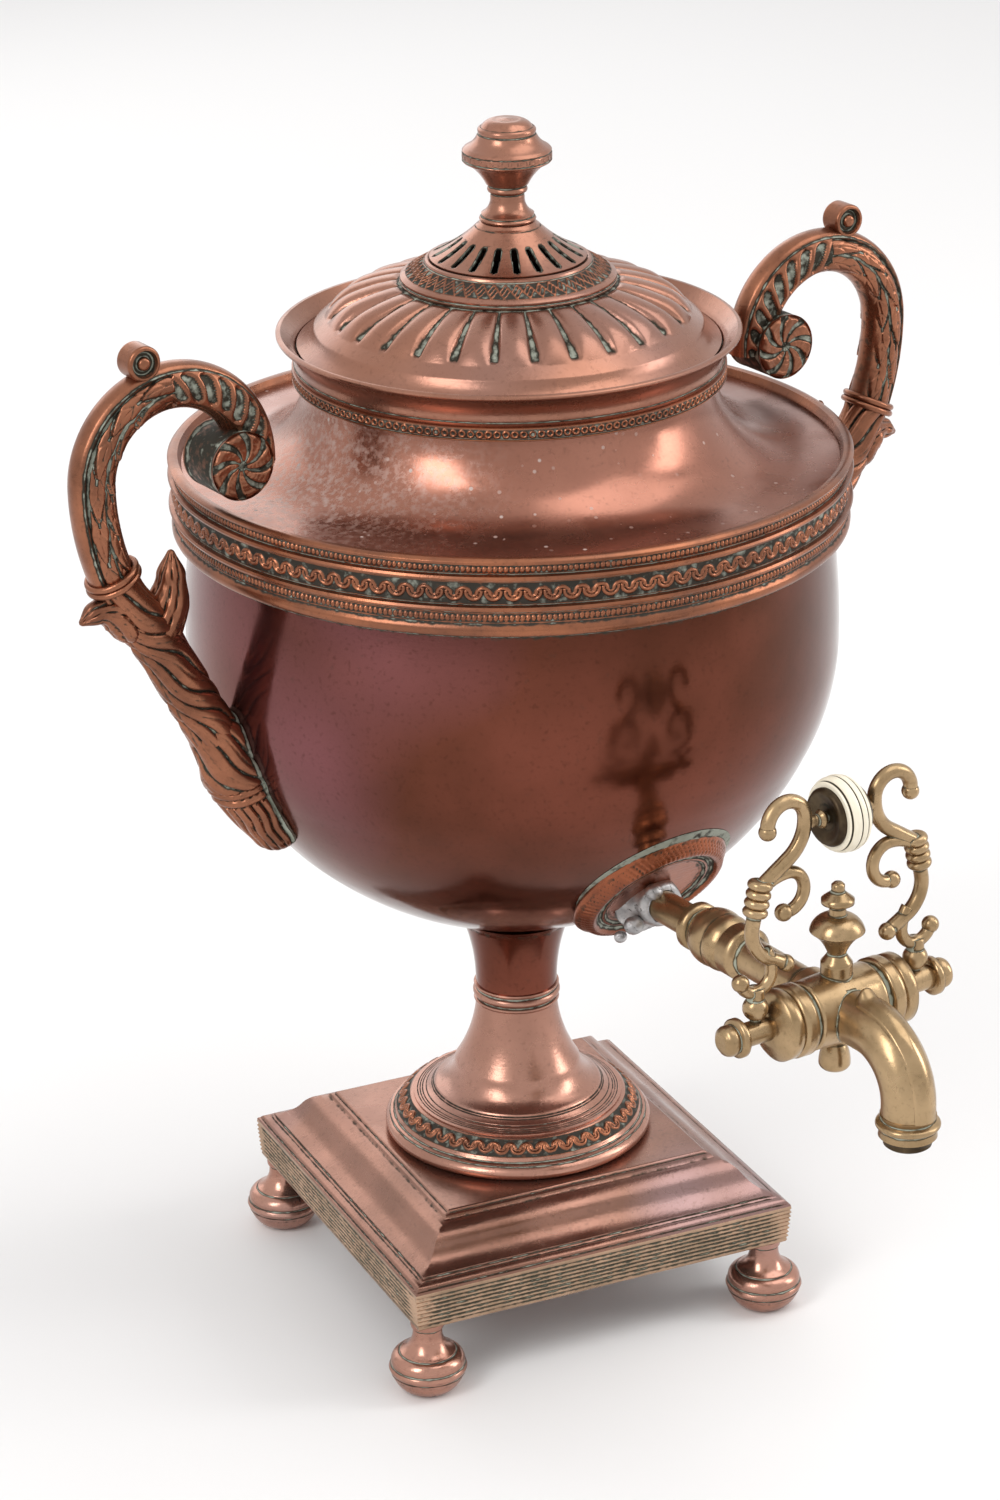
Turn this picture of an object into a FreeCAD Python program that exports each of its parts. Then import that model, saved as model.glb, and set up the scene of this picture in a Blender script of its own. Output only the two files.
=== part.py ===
import FreeCAD, Part
import math
import os
import Sketcher

# A copper tea urn: a square plinth on four turned feet, a trumpet pedestal, a round bowl with an
# ornamental band, two scrolled handles, a lift-off lid with a pierced vent cone, an iron heater in a
# sleeve inside, and a brass tap with a scrolled lever.
# Millimetres. The origin is on the table under the urn's axis, +Z is up, the tap points along -Y.

Vector = FreeCAD.Vector
Rotation = FreeCAD.Rotation
Placement = FreeCAD.Placement

X_AXIS = Vector(1, 0, 0)
Y_AXIS = Vector(0, 1, 0)
Z_AXIS = Vector(0, 0, 1)

SIZES = {
    # walls and fits
    "sheet_wall": 1.4,
    "seat_gap": 0.05,
    "running_gap": 0.05,
    "lift_gap": 0.3,
    "pin_gap": 0.05,
    # turned feet
    "foot_height": 26.6,
    "foot_sole_radius": 7.2,
    "foot_ball_radius": 13.5,
    "foot_ball_height": 9.9,
    "foot_shoulder_radius": 9.0,
    "foot_shoulder_height": 17.6,
    "foot_neck_radius": 5.0,
    "foot_neck_height": 23.6,
    "foot_top_radius": 5.8,
    "foot_spread": 66.6,
    "foot_stud_radius": 2.5,
    "foot_stud_length": 9.0,
    "foot_nut_radius": 4.6,
    "foot_nut_height": 4.0,
    # square plinth
    "plinth_turn": -9.0,
    "plinth_half_side": 73.6,
    "fascia_height": 14.6,
    "fascia_wall": 2.2,
    "reed_count": 7,
    "reed_depth": 0.45,
    "corner_plate_side": 22.0,
    "corner_plate_thickness": 2.4,
    "slope_height": 17.2,
    "slope_border": 5.2,
    "ogee_low_rise": 3.8,
    "ogee_low_run": 9.0,
    "ogee_high_rise": 11.0,
    "ogee_sag": 0.5,
    "platform_half_side": 50.0,
    "platform_fillet": 1.5,
    # pedestal
    "ring_radius": 48.2,
    "ring_torus_height": 6.2,
    "ring_inner_radius": 33.0,
    "ring_height": 13.2,
    "ring_cone_low_radius": 44.1,
    "ring_cone_low_height": 7.8,
    "ring_cone_high_radius": 38.7,
    "trumpet_foot_radius": 37.8,
    "trumpet_height": 37.3,
    "trumpet_neck_radius": 14.6,
    "trumpet_mid_radius": 22.6,
    "trumpet_mid_height": 13.4,
    "trumpet_low_sag": 2.6,
    "trumpet_high_sag": 1.6,
    "waist_height": 6.8,
    "waist_radius": 15.7,
    "waist_bore_radius": 9.0,
    "stem_height": 26.9,
    "stem_low_radius": 14.6,
    "stem_high_radius": 20.6,
    "stem_sag": 1.1,
    # bowl
    "bowl_floor_radius": 16.0,
    "bowl_foot_radius": 50.0,
    "bowl_foot_height": 15.4,
    "bowl_foot_sag": 0.4,
    "bowl_low_radius": 81.0,
    "bowl_low_height": 37.4,
    "bowl_low_sag": 1.4,
    "bowl_high_radius": 104.0,
    "bowl_high_height": 70.2,
    "bowl_high_sag": 1.75,
    "bowl_belly_radius": 113.3,
    "bowl_belly_height": 107.4,
    "bowl_belly_sag": 2.2,
    "bowl_top_radius": 110.4,
    "bowl_top_height": 149.3,
    "bowl_top_sag": 0.83,
    "bowl_lap": 8.0,
    # ornamental band and shoulder
    "band_height": 27.0,
    "band_radius": 115.8,
    "band_relief": 1.1,
    "band_lip_height": 2.0,
    "band_lip_radius": 117.2,
    "band_bead_height": 4.2,
    "band_frieze_height": 8.2,
    "band_fillet_height": 2.2,
    "shoulder_edge_radius": 112.4,
    "shoulder_tray_radius": 98.0,
    "shoulder_tray_drop": 3.0,
    "shoulder_neck_radius": 70.0,
    "shoulder_rise": 27.7,
    "shoulder_sag": 7.5,
    # mouth
    "neck_band_height": 4.8,
    "neck_band_radius": 73.8,
    "mouth_height": 12.2,
    "mouth_radius": 78.9,
    "mouth_cove_radius": 72.9,
    "mouth_bore_radius": 68.6,
    "mouth_ledge_radius": 72.2,
    "mouth_ledge_drop": 6.3,
    # lid
    "lid_edge_thickness": 1.6,
    "lid_roll_radius": 66.0,
    "lid_roll_rise": 7.5,
    "lid_crown_radius": 36.0,
    "lid_rise": 22.1,
    "lid_sag": 2.2,
    "bezel_depth": 9.0,
    "bezel_wall": 1.8,
    "vent_ring_radius": 36.5,
    "vent_ring_foot_height": 2.4,
    "vent_ring_height": 7.9,
    "vent_cone_radius": 26.6,
    "vent_cone_height": 13.2,
    "vent_cone_top_radius": 10.6,
    "slot_count": 20,
    "slot_width": 1.9,
    "slot_length": 9.4,
    "slot_start_radius": 15.6,
    "knob_collar_radius": 9.5,
    "knob_neck_radius": 5.8,
    "knob_neck_height": 8.0,
    "knob_cup_radius": 8.4,
    "knob_cup_height": 13.8,
    "knob_ball_radius": 15.1,
    "knob_ball_height": 22.4,
    "knob_groove_radius": 9.8,
    "knob_groove_height": 30.0,
    "knob_cap_radius": 8.8,
    "knob_height": 34.5,
    "knob_stud_radius": 3.0,
    "knob_stud_length": 12.0,
    "knob_nut_radius": 6.5,
    "knob_nut_height": 4.0,
    # heater inside
    "sleeve_radius": 33.0,
    "sleeve_wall": 1.5,
    "sleeve_height": 156.0,
    "sleeve_flange_radius": 37.0,
    "iron_radius": 28.5,
    "iron_height": 100.0,
    "iron_neck_radius": 4.0,
    "iron_neck_height": 10.0,
    "iron_eye_radius": 8.0,
    "iron_eye_bar_radius": 3.0,
    "cap_thickness": 2.0,
    "cap_plug_depth": 6.0,
    "cap_knob_radius": 7.0,
    "cap_knob_height": 14.0,
    # handles
    "handle_reach": 132.0,
    "handle_height": 334.5,
    "handle_bar_radius": 8.2,
    "handle_arch_radius": 29.4,
    "handle_drop_radius": 86.0,
    "volute_radius": 11.6,
    "volute_thickness": 19.0,
    "curl_radius": 6.0,
    "curl_length": 15.0,
    "calyx_thickness": 12.0,
    "arm_bar_radius": 7.6,
    "leaf_bar_radius": 9.6,
    "rivet_radius": 2.5,
    "rivet_head_radius": 4.5,
    "rivet_head_height": 2.0,
    "rivet_low_height": 74.0,
    "rivet_high_height": 92.0,
    # tap
    "pipe_radius": 5.6,
    "pipe_bore_radius": 3.4,
    "tap_reach": 184.0,
    "tail_collar_radius": 8.4,
    "tail_collar_reach": 110.0,
    "tail_bulb_radius": 9.6,
    "tail_bulb_reach": 124.0,
    "tail_ring_radius": 9.2,
    "tail_ring_reach": 134.0,
    "tail_neck_radius": 6.6,
    "tail_length": 93.0,
    "escutcheon_radius": 28.0,
    "escutcheon_rim_height": 6.6,
    "escutcheon_rim_width": 5.0,
    "escutcheon_edge_height": 2.2,
    "escutcheon_field_height": 4.6,
    "escutcheon_rise": 6.6,
    "escutcheon_slope": 38.0,
    "curved_seat_gap": 0.15,
    "solder_radius": 8.6,
    "solder_length": 11.0,
    "barrel_radius": 12.9,
    "barrel_half_length": 20.5,
    "barrel_bead_radius": 12.1,
    "barrel_groove_radius": 10.4,
    "barrel_cap_radius": 11.8,
    "barrel_cap_length": 7.7,
    "plug_large_radius": 8.0,
    "plug_small_radius": 7.0,
    "shaft_radius": 4.0,
    "shaft_half_length": 42.5,
    "port_radius": 3.4,
    "spout_radius": 8.8,
    "spout_bore_radius": 5.0,
    "spout_run": 18.3,
    "spout_bend_radius": 19.5,
    "spout_drop": 2.8,
    "nozzle_radius": 9.9,
    "nozzle_height": 7.5,
    "outlet_radius": 7.0,
    "outlet_length": 3.4,
    "finial_height": 29.9,
    "finial_bulb_radius": 9.0,
    "finial_disc_radius": 5.4,
    "finial_foot_radius": 5.2,
    "finial_stud_radius": 2.0,
    "pendant_radius": 5.2,
    "pendant_length": 9.2,
    # tap lever
    "lever_bar_radius": 2.4,
    "lever_tip_radius": 2.9,
    "lever_spread": 32.4,
    "lever_ball_radius": 4.2,
    "lever_ball_height": 8.6,
    "lever_tenon_radius": 1.8,
    "lever_hook_radius": 7.3,
    "lever_scroll_radius": 6.8,
    "lever_foot_radius": 6.2,
    "knuckle_ring_radius": 4.1,
    "knuckle_ring_pitch": 3.0,
    "shaft_knob_ring_radius": 6.5,
    "shaft_knob_radius": 5.0,
    "shaft_knob_length": 8.1,
    "grip_height": 67.5,
    "grip_radius": 12.4,
    "grip_half_width": 4.4,
    "grip_cap_radius": 9.6,
    "grip_cap_width": 2.0,
    "grip_spindle_radius": 1.9,
    "grip_bead_radius": 3.2,
    "grip_spindle_half_length": 12.6,
}

doc = FreeCAD.newDocument("TeaUrn")
sheet = doc.addObject("Spreadsheet::Sheet", "Sizes")
for row, (alias, amount) in enumerate(SIZES.items(), start=1):
    sheet.set(f"A{row}", alias)
    sheet.set(f"B{row}", str(amount))
    sheet.setAlias(f"B{row}", alias)
doc.recompute()


class Size:
    """A size that knows its number and the sheet expression that gives it."""

    def __init__(self, value, text):
        self.value = value
        self.text = text

    def __add__(self, other):
        other = as_size(other)
        return Size(self.value + other.value, f"({self.text} + {other.text})")

    def __sub__(self, other):
        other = as_size(other)
        return Size(self.value - other.value, f"({self.text} - {other.text})")

    def __mul__(self, other):
        other = as_size(other)
        return Size(self.value * other.value, f"({self.text} * {other.text})")

    def __truediv__(self, other):
        other = as_size(other)
        return Size(self.value / other.value, f"({self.text} / {other.text})")

    def __radd__(self, other):
        return as_size(other) + self

    def __rsub__(self, other):
        return as_size(other) - self

    def __rmul__(self, other):
        return as_size(other) * self

    def __neg__(self):
        return as_size(0) - self


def as_size(item):
    if isinstance(item, Size):
        return item
    return Size(float(item), f"{float(item):.6f}")


class Sheet:
    """Reads a size from the sheet by its alias."""

    def __getattr__(self, alias):
        return Size(float(sheet.get(alias)), f"Sizes.{alias}")


S = Sheet()
NODES = {}


def keep(label, item):
    """Name an object as a sub-part that is written to its own file."""
    item.Label = label
    NODES[label] = item
    return item


# Sketches and features

def bind(item, path, size):
    """Bind a property of an object to a size."""
    item.setExpression(path, as_size(size).text)


def plane_of(body, role):
    return next(item for item in body.Origin.OriginFeatures if item.Role == role)


def arc_through(start, end, sag):
    """The arc from start to end that bulges by sag to the left of the way from start to end."""
    chord = end - start
    length = chord.Length
    radius = length * length / (8 * abs(sag)) + abs(sag) / 2
    left = Vector(-chord.y, chord.x, 0) / length
    side = 1 if sag > 0 else -1
    centre = (start + end) / 2 + left * side * (abs(sag) - radius)
    circle = Part.Circle(centre, Z_AXIS, radius)
    first = math.atan2(start.y - centre.y, start.x - centre.x)
    last = math.atan2(end.y - centre.y, end.x - centre.x)
    if side > 0:
        return Part.ArcOfCircle(circle, last, first), True
    return Part.ArcOfCircle(circle, first, last), False


def pin_point(sketch, geometry, corner, point):
    """Constrain a corner to its two sizes, counted from the sketch's own axes."""
    for kind, axis, size in (("DistanceX", -2, point[0]), ("DistanceY", -1, point[1])):
        size = as_size(size)
        if abs(size.value) < 1e-9:
            sketch.addConstraint(Sketcher.Constraint("PointOnObject", geometry, corner, axis))
            continue
        rule = Sketcher.Constraint(kind, -1, 1, geometry, corner, size.value)
        index = sketch.addConstraint(rule)
        sketch.setExpression(f"Constraints[{index}]", size.text)


def draw(sketch, outline):
    """Draw a closed outline of (across, up) or (across, up, sag) corners; sag bends the next side."""
    corners = []
    flipped = []
    for index, corner in enumerate(outline):
        following = outline[(index + 1) % len(outline)]
        start = Vector(as_size(corner[0]).value, as_size(corner[1]).value, 0)
        end = Vector(as_size(following[0]).value, as_size(following[1]).value, 0)
        sag = as_size(corner[2]) if len(corner) > 2 else None
        if sag is None:
            geometry = sketch.addGeometry(Part.LineSegment(start, end), False)
            flipped.append(False)
        else:
            arc, turned = arc_through(start, end, sag.value)
            geometry = sketch.addGeometry(arc, False)
            flipped.append(turned)
            run = as_size(following[0]) - corner[0]
            rise = as_size(following[1]) - corner[1]
            bulge = sag if sag.value > 0 else -sag
            radius = (run * run + rise * rise) / (8 * bulge) + bulge / 2
            rule = sketch.addConstraint(Sketcher.Constraint("Radius", geometry, radius.value))
            sketch.setExpression(f"Constraints[{rule}]", radius.text)
        corners.append(geometry)
    for index, geometry in enumerate(corners):
        following = (index + 1) % len(corners)
        end_corner = 1 if flipped[index] else 2
        start_corner = 2 if flipped[following] else 1
        join = Sketcher.Constraint("Coincident", geometry, end_corner, corners[following], start_corner)
        sketch.addConstraint(join)
        pin_point(sketch, geometry, 2 if flipped[index] else 1, outline[index])


def new_sketch(body, name, role="XZ_Plane", lift=0):
    """A sketch on one of the body's own planes, moved along the plane's normal by lift."""
    sketch = body.newObject("Sketcher::SketchObject", name)
    sketch.AttachmentSupport = [(plane_of(body, role), "")]
    sketch.MapMode = "FlatFace"
    if isinstance(lift, Size):
        bind(sketch, "AttachmentOffset.Base.z", lift)
    return sketch


def circle_sketch(body, name, role, across, up, radius, lift=0):
    sketch = new_sketch(body, name, role, lift)
    across, up, radius = as_size(across), as_size(up), as_size(radius)
    circle = Part.Circle(Vector(across.value, up.value, 0), Z_AXIS, radius.value)
    geometry = sketch.addGeometry(circle, False)
    rule = sketch.addConstraint(Sketcher.Constraint("Radius", geometry, radius.value))
    sketch.setExpression(f"Constraints[{rule}]", radius.text)
    pin_point(sketch, geometry, 3, (across, up))
    return sketch


def turned_body(name, outline, axis="V_Axis"):
    """A body turned from an outline in the XZ plane, about the upright or the level axis."""
    body = doc.addObject("PartDesign::Body", name)
    sketch = new_sketch(body, f"{name}_outline")
    draw(sketch, outline)
    turned = body.newObject("PartDesign::Revolution", f"{name}_turned")
    turned.Profile = sketch
    turned.ReferenceAxis = (sketch, [axis])
    turned.Angle = 360
    sketch.Visibility = False
    return body


def pad(body, sketch, length, midplane=False, backwards=False):
    feature = body.newObject("PartDesign::Pad", f"{sketch.Name}_pad")
    feature.Profile = sketch
    bind(feature, "Length", length)
    feature.Midplane = midplane
    feature.Reversed = backwards
    return feature


def pocket(body, sketch, length, midplane=False, backwards=False):
    feature = body.newObject("PartDesign::Pocket", f"{sketch.Name}_pocket")
    feature.Profile = sketch
    feature.Type = 0
    bind(feature, "Length", length)
    feature.Midplane = midplane
    feature.Reversed = backwards
    return feature


def place(item, across=0, depth=0, height=0, turn=None):
    """Put an object at its place; each coordinate stays bound to its size."""
    item.Placement = Placement(Vector(0, 0, 0), turn if turn else Rotation())
    for letter, size in (("x", across), ("y", depth), ("z", height)):
        size = as_size(size)
        if size.text != as_size(0).text:
            bind(item, f"Placement.Base.{letter}", size)
    return item


def cut(name, base, tool):
    result = doc.addObject("Part::Cut", name)
    result.Base = base
    result.Tool = tool
    return result


def common(name, first, second):
    result = doc.addObject("Part::MultiCommon", name)
    result.Shapes = [first, second]
    return result


def fuse(name, *items):
    result = doc.addObject("Part::MultiFuse", name)
    result.Shapes = list(items)
    return result


def mirrored(label, source):
    """The same piece on the other side of the YZ plane."""
    result = doc.addObject("Part::Mirroring", f"{label}_mirror")
    result.Source = source
    result.Normal = X_AXIS
    return keep(label, result)


def rod(name, radius, length, across=0, depth=0, height=0, turn=None):
    cylinder = doc.addObject("Part::Cylinder", name)
    bind(cylinder, "Radius", radius)
    bind(cylinder, "Height", length)
    return place(cylinder, across, depth, height, turn)


TO_FRONT = Rotation(X_AXIS, 90)
TO_RIGHT = Rotation(Y_AXIS, 90)

# Levels, from the table up
LEVEL_FASCIA = S.foot_height
LEVEL_SLOPE = LEVEL_FASCIA + S.fascia_height
LEVEL_PLATFORM = LEVEL_SLOPE + S.slope_height
LEVEL_TRUMPET = LEVEL_PLATFORM + S.ring_height
LEVEL_WAIST = LEVEL_TRUMPET + S.trumpet_height
LEVEL_STEM = LEVEL_WAIST + S.waist_height
LEVEL_BOWL = LEVEL_STEM + S.stem_height
LEVEL_BAND = LEVEL_BOWL + S.bowl_top_height
LEVEL_RIM = LEVEL_BAND + S.band_height
LEVEL_TRAY = LEVEL_RIM - S.shoulder_tray_drop
LEVEL_NECK = LEVEL_TRAY + S.shoulder_rise
LEVEL_MOUTH = LEVEL_NECK + S.neck_band_height
LEVEL_LIP = LEVEL_MOUTH + S.mouth_height
LEVEL_LID = LEVEL_LIP - S.mouth_ledge_drop + S.seat_gap
LEVEL_CROWN = LEVEL_LID + S.lid_rise
LEVEL_CONE = LEVEL_CROWN + S.vent_ring_height
LEVEL_KNOB = LEVEL_CONE + S.vent_cone_height
LEVEL_TAP = LEVEL_BOWL + S.bowl_low_height * 0.955


# Feet, their nuts and the corner plates that carry them

def foot_body(name):
    return turned_body(name, [
        (0, 0),
        (S.foot_sole_radius, 0),
        (S.foot_ball_radius, S.foot_ball_height, -1.2),
        (S.foot_shoulder_radius, S.foot_shoulder_height, 0.8),
        (S.foot_neck_radius, S.foot_neck_height),
        (S.foot_top_radius, S.foot_height),
        (S.foot_stud_radius, S.foot_height),
        (S.foot_stud_radius, S.foot_height + S.foot_stud_length),
        (0, S.foot_height + S.foot_stud_length),
    ])


def plinth_turned(name, source):
    """The same piece, turned with the plinth about the urn's axis."""
    holder = doc.addObject("Part::Compound", name)
    holder.Links = [source]
    holder.Placement = Placement(Vector(0, 0, 0), Rotation(Z_AXIS, float(sheet.get("plinth_turn"))))
    holder.setExpression("Placement.Rotation.Angle", "Sizes.plinth_turn")
    return holder


def plinth_corner(side, front):
    """Where a foot stands, after the plinth's turn."""
    turn = "Sizes.plinth_turn * 1 deg"
    spread = S.foot_spread
    across = Size(0, f"({side} * {spread.text} * cos({turn}) - {front} * {spread.text} * sin({turn}))")
    depth = Size(0, f"({side} * {spread.text} * sin({turn}) + {front} * {spread.text} * cos({turn}))")
    return across, depth


CORNERS = {
    "front_left": (-1, -1),
    "front_right": (1, -1),
    "rear_left": (-1, 1),
    "rear_right": (1, 1),
}
nuts = []
plates = []
for corner, (side, front) in CORNERS.items():
    across, depth = plinth_corner(side, front)
    foot = place(foot_body(f"foot_{corner}"), across, depth)
    keep(f"foot_{corner}", foot)

    nut_bar = doc.addObject("Part::Prism", f"nut_bar_{corner}")
    nut_bar.Polygon = 6
    bind(nut_bar, "Circumradius", S.foot_nut_radius)
    bind(nut_bar, "Height", S.foot_nut_height)
    plate_top = S.foot_height + S.corner_plate_thickness
    place(nut_bar, across, depth, plate_top)
    hole = rod(f"nut_hole_{corner}", S.foot_stud_radius + S.pin_gap, S.foot_nut_height, across, depth,
               plate_top)
    nuts.append(cut(f"foot_nut_{corner}", nut_bar, hole))

    plate = doc.addObject("Part::Box", f"plate_blank_{corner}")
    bind(plate, "Length", S.corner_plate_side)
    bind(plate, "Width", S.corner_plate_side)
    bind(plate, "Height", S.corner_plate_thickness)
    reach = S.plinth_half_side - S.fascia_wall
    near = reach - S.corner_plate_side
    place(plate, near if side > 0 else -reach, near if front > 0 else -reach, S.foot_height)
    plates.append(plate)

keep("foot_nuts", doc.addObject("Part::Compound", "foot_nuts")).Links = nuts

plate_set = fuse("plate_set", *plates)
stud_holes = []
for corner, (side, front) in CORNERS.items():
    across = side * S.foot_spread
    depth = front * S.foot_spread
    stud_holes.append(rod(f"stud_hole_{corner}", S.foot_stud_radius + S.pin_gap,
                          S.corner_plate_thickness, across, depth, S.foot_height))
drilled = cut("plates_drilled", plate_set, fuse("stud_holes", *stud_holes))
keep("corner_plates", plinth_turned("corner_plates", drilled))


# Square plinth: a reeded fascia and a sheet with an ogee slope. A square moulding with mitred
# corners is what two crossed bars of the same section have in common.

def square_moulding(name, half_outline):
    """The solid with this side outline on all four sides of a square."""
    bars = []
    for letter, role in (("a", "XZ_Plane"), ("b", "YZ_Plane")):
        body = doc.addObject("PartDesign::Body", f"{name}_bar_{letter}")
        sketch = new_sketch(body, f"{name}_section_{letter}", role)
        left = []
        for index in range(len(half_outline) - 1, -1, -1):
            corner = half_outline[index]
            before = half_outline[index - 1] if index > 0 else ()
            mirrored_corner = (-as_size(corner[0]), corner[1])
            if len(before) > 2:
                mirrored_corner += (before[2],)
            left.append(mirrored_corner)
        right = [tuple(corner) for corner in half_outline]
        draw(sketch, right + left)
        pad(body, sketch, 2 * S.plinth_half_side + 2, midplane=True)
        bars.append(body)
    return common(name, bars[0], bars[1])


reed_pitch = S.fascia_height / (S.reed_count + 2)
fascia_side = [
    (S.plinth_half_side, LEVEL_FASCIA),
    (S.plinth_half_side, LEVEL_FASCIA + reed_pitch),
]
for reed in range(int(SIZES["reed_count"])):
    low = LEVEL_FASCIA + reed_pitch * (reed + 1)
    fascia_side.append((S.plinth_half_side - S.reed_depth, low, -S.reed_depth))
fascia_side += [
    (S.plinth_half_side - S.reed_depth, LEVEL_SLOPE - reed_pitch),
    (S.plinth_half_side, LEVEL_SLOPE - reed_pitch),
    (S.plinth_half_side, LEVEL_SLOPE),
]
fascia_block = square_moulding("fascia_block", fascia_side)
fascia_hollow = doc.addObject("Part::Box", "fascia_hollow")
hollow_side = 2 * (S.plinth_half_side - S.fascia_wall)
bind(fascia_hollow, "Length", hollow_side)
bind(fascia_hollow, "Width", hollow_side)
bind(fascia_hollow, "Height", S.fascia_height)
place(fascia_hollow, -(hollow_side / 2), -(hollow_side / 2), LEVEL_FASCIA)
keep("plinth_fascia", plinth_turned("plinth_fascia", cut("fascia_frame", fascia_block, fascia_hollow)))


slope_low = S.plinth_half_side - S.slope_border
slope_mid = slope_low - S.ogee_low_run
slope_end = S.platform_half_side + S.platform_fillet
slope_outer = square_moulding("slope_outer", [
    (S.plinth_half_side, LEVEL_SLOPE),
    (S.plinth_half_side, LEVEL_SLOPE + 0.7),
    (slope_low + 1.0, LEVEL_SLOPE + S.ogee_low_rise - 0.8),
    (slope_low, LEVEL_SLOPE + S.ogee_low_rise, -S.ogee_sag),
    (slope_mid, LEVEL_SLOPE + S.ogee_high_rise, S.ogee_sag),
    (slope_end, LEVEL_PLATFORM - S.platform_fillet),
    (S.platform_half_side, LEVEL_PLATFORM),
])
slope_inner = square_moulding("slope_inner", [
    (S.plinth_half_side - 1.8, LEVEL_SLOPE),
    (slope_low, LEVEL_SLOPE + S.ogee_low_rise - 2.0, -S.ogee_sag),
    (slope_mid, LEVEL_SLOPE + S.ogee_high_rise - 2.0, S.ogee_sag),
    (slope_end - 1.0, LEVEL_PLATFORM - S.platform_fillet - 1.6),
    (S.platform_half_side - 2.0, LEVEL_PLATFORM - S.sheet_wall),
])
slope_shell = cut("slope_shell", slope_outer, slope_inner)
keep("plinth_top", plinth_turned("plinth_top", slope_shell))

# Pedestal

torus_half = S.ring_torus_height / 2
keep("pedestal_ring", turned_body("pedestal_ring", [
    (S.ring_inner_radius, LEVEL_PLATFORM),
    (S.ring_radius - torus_half * 0.6, LEVEL_PLATFORM),
    (S.ring_radius, LEVEL_PLATFORM + torus_half, -0.9),
    (S.ring_radius - torus_half * 0.6, LEVEL_PLATFORM + S.ring_torus_height),
    (S.ring_cone_low_radius, LEVEL_PLATFORM + S.ring_torus_height),
    (S.ring_cone_low_radius, LEVEL_PLATFORM + S.ring_cone_low_height),
    (S.ring_cone_high_radius, LEVEL_TRUMPET),
    (S.ring_inner_radius, LEVEL_TRUMPET),
]))

wall = S.sheet_wall
trumpet_mid = LEVEL_TRUMPET + S.trumpet_mid_height
keep("pedestal_trumpet", turned_body("pedestal_trumpet", [
    (S.trumpet_foot_radius, LEVEL_TRUMPET),
    (S.trumpet_foot_radius, LEVEL_TRUMPET + 0.4, S.trumpet_low_sag),
    (S.trumpet_mid_radius, trumpet_mid, S.trumpet_high_sag),
    (S.trumpet_neck_radius, LEVEL_WAIST),
    (S.trumpet_neck_radius - wall, LEVEL_WAIST, -S.trumpet_high_sag),
    (S.trumpet_mid_radius - wall, trumpet_mid - wall, -S.trumpet_low_sag),
    (S.trumpet_foot_radius - 2 * wall, LEVEL_TRUMPET),
]))

keep("waist_bead", turned_body("waist_bead", [
    (S.waist_bore_radius, LEVEL_WAIST),
    (S.waist_radius - 0.6, LEVEL_WAIST),
    (S.waist_radius - 0.6, LEVEL_WAIST + 1.4),
    (S.waist_radius - 0.9, LEVEL_WAIST + 1.4, -1.0),
    (S.waist_radius - 0.9, LEVEL_STEM - 1.4),
    (S.waist_radius - 0.6, LEVEL_STEM - 1.4),
    (S.waist_radius - 0.6, LEVEL_STEM),
    (S.waist_bore_radius, LEVEL_STEM),
]))

# The bowl, and the solid that it fills, which trims what is fitted against its outside

bowl_foot = LEVEL_BOWL + S.bowl_foot_height
bowl_low = LEVEL_BOWL + S.bowl_low_height
bowl_high = LEVEL_BOWL + S.bowl_high_height
bowl_belly = LEVEL_BOWL + S.bowl_belly_height
tap_seat_radius = S.bowl_low_radius - (bowl_low - LEVEL_TAP) * 1.15


def bowl_solid(name, inset):
    """The solid inside the bowl's surface; inset moves the surface in, or out if below zero."""
    return turned_body(name, [
        (0, LEVEL_BOWL + inset),
        (S.bowl_floor_radius, LEVEL_BOWL + inset, -S.bowl_foot_sag),
        (S.bowl_foot_radius - inset * 0.4, bowl_foot + inset * 0.92, -S.bowl_low_sag),
        (S.bowl_low_radius - inset * 0.7, bowl_low + inset * 0.7, -S.bowl_high_sag),
        (S.bowl_high_radius - inset * 0.9, bowl_high + inset * 0.4, -S.bowl_belly_sag),
        (S.bowl_belly_radius - inset, bowl_belly, -S.bowl_top_sag),
        (S.bowl_top_radius - inset, LEVEL_BAND),
        (S.bowl_top_radius - inset, LEVEL_BAND + S.bowl_lap),
        (0, LEVEL_BAND + S.bowl_lap),
    ])


bowl_former = bowl_solid("bowl_former", -S.curved_seat_gap)

stem_top = LEVEL_BOWL + 3.4
stem_blank = turned_body("stem_blank", [
    (S.stem_low_radius, LEVEL_STEM),
    (S.stem_low_radius, LEVEL_STEM + 0.8, S.stem_sag),
    (S.stem_high_radius - 1.6, LEVEL_BOWL - 2.0),
    (S.stem_high_radius, stem_top),
    (S.stem_high_radius - 5.0, stem_top),
    (S.stem_high_radius - 4.6, LEVEL_BOWL - 3.0, -S.stem_sag),
    (S.stem_low_radius - wall, LEVEL_STEM),
])
keep("stem_bell", cut("stem_bell", stem_blank, bowl_former))

bowl_outside = bowl_solid("bowl_outside", as_size(0))
bowl_inside = bowl_solid("bowl_inside", wall)
bowl_drill = doc.addObject("PartDesign::Body", "bowl_drill")
pipe_hole = circle_sketch(bowl_drill, "pipe_hole", "XZ_Plane", 0, LEVEL_TAP, S.pipe_radius + S.pin_gap)
pad(bowl_drill, pipe_hole, S.bowl_belly_radius + 1)
rivet_heights = (LEVEL_BOWL + S.rivet_low_height, LEVEL_BOWL + S.rivet_high_height)
for name, height in zip(("low", "high"), rivet_heights):
    rivet_hole = circle_sketch(bowl_drill, f"rivet_hole_{name}", "YZ_Plane", 0, height,
                               S.rivet_radius + S.pin_gap)
    pad(bowl_drill, rivet_hole, 2 * S.bowl_belly_radius + 2, midplane=True)
bowl_shell = cut("bowl_shell", bowl_outside, bowl_inside)
keep("bowl", cut("bowl", bowl_shell, bowl_drill))

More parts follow.
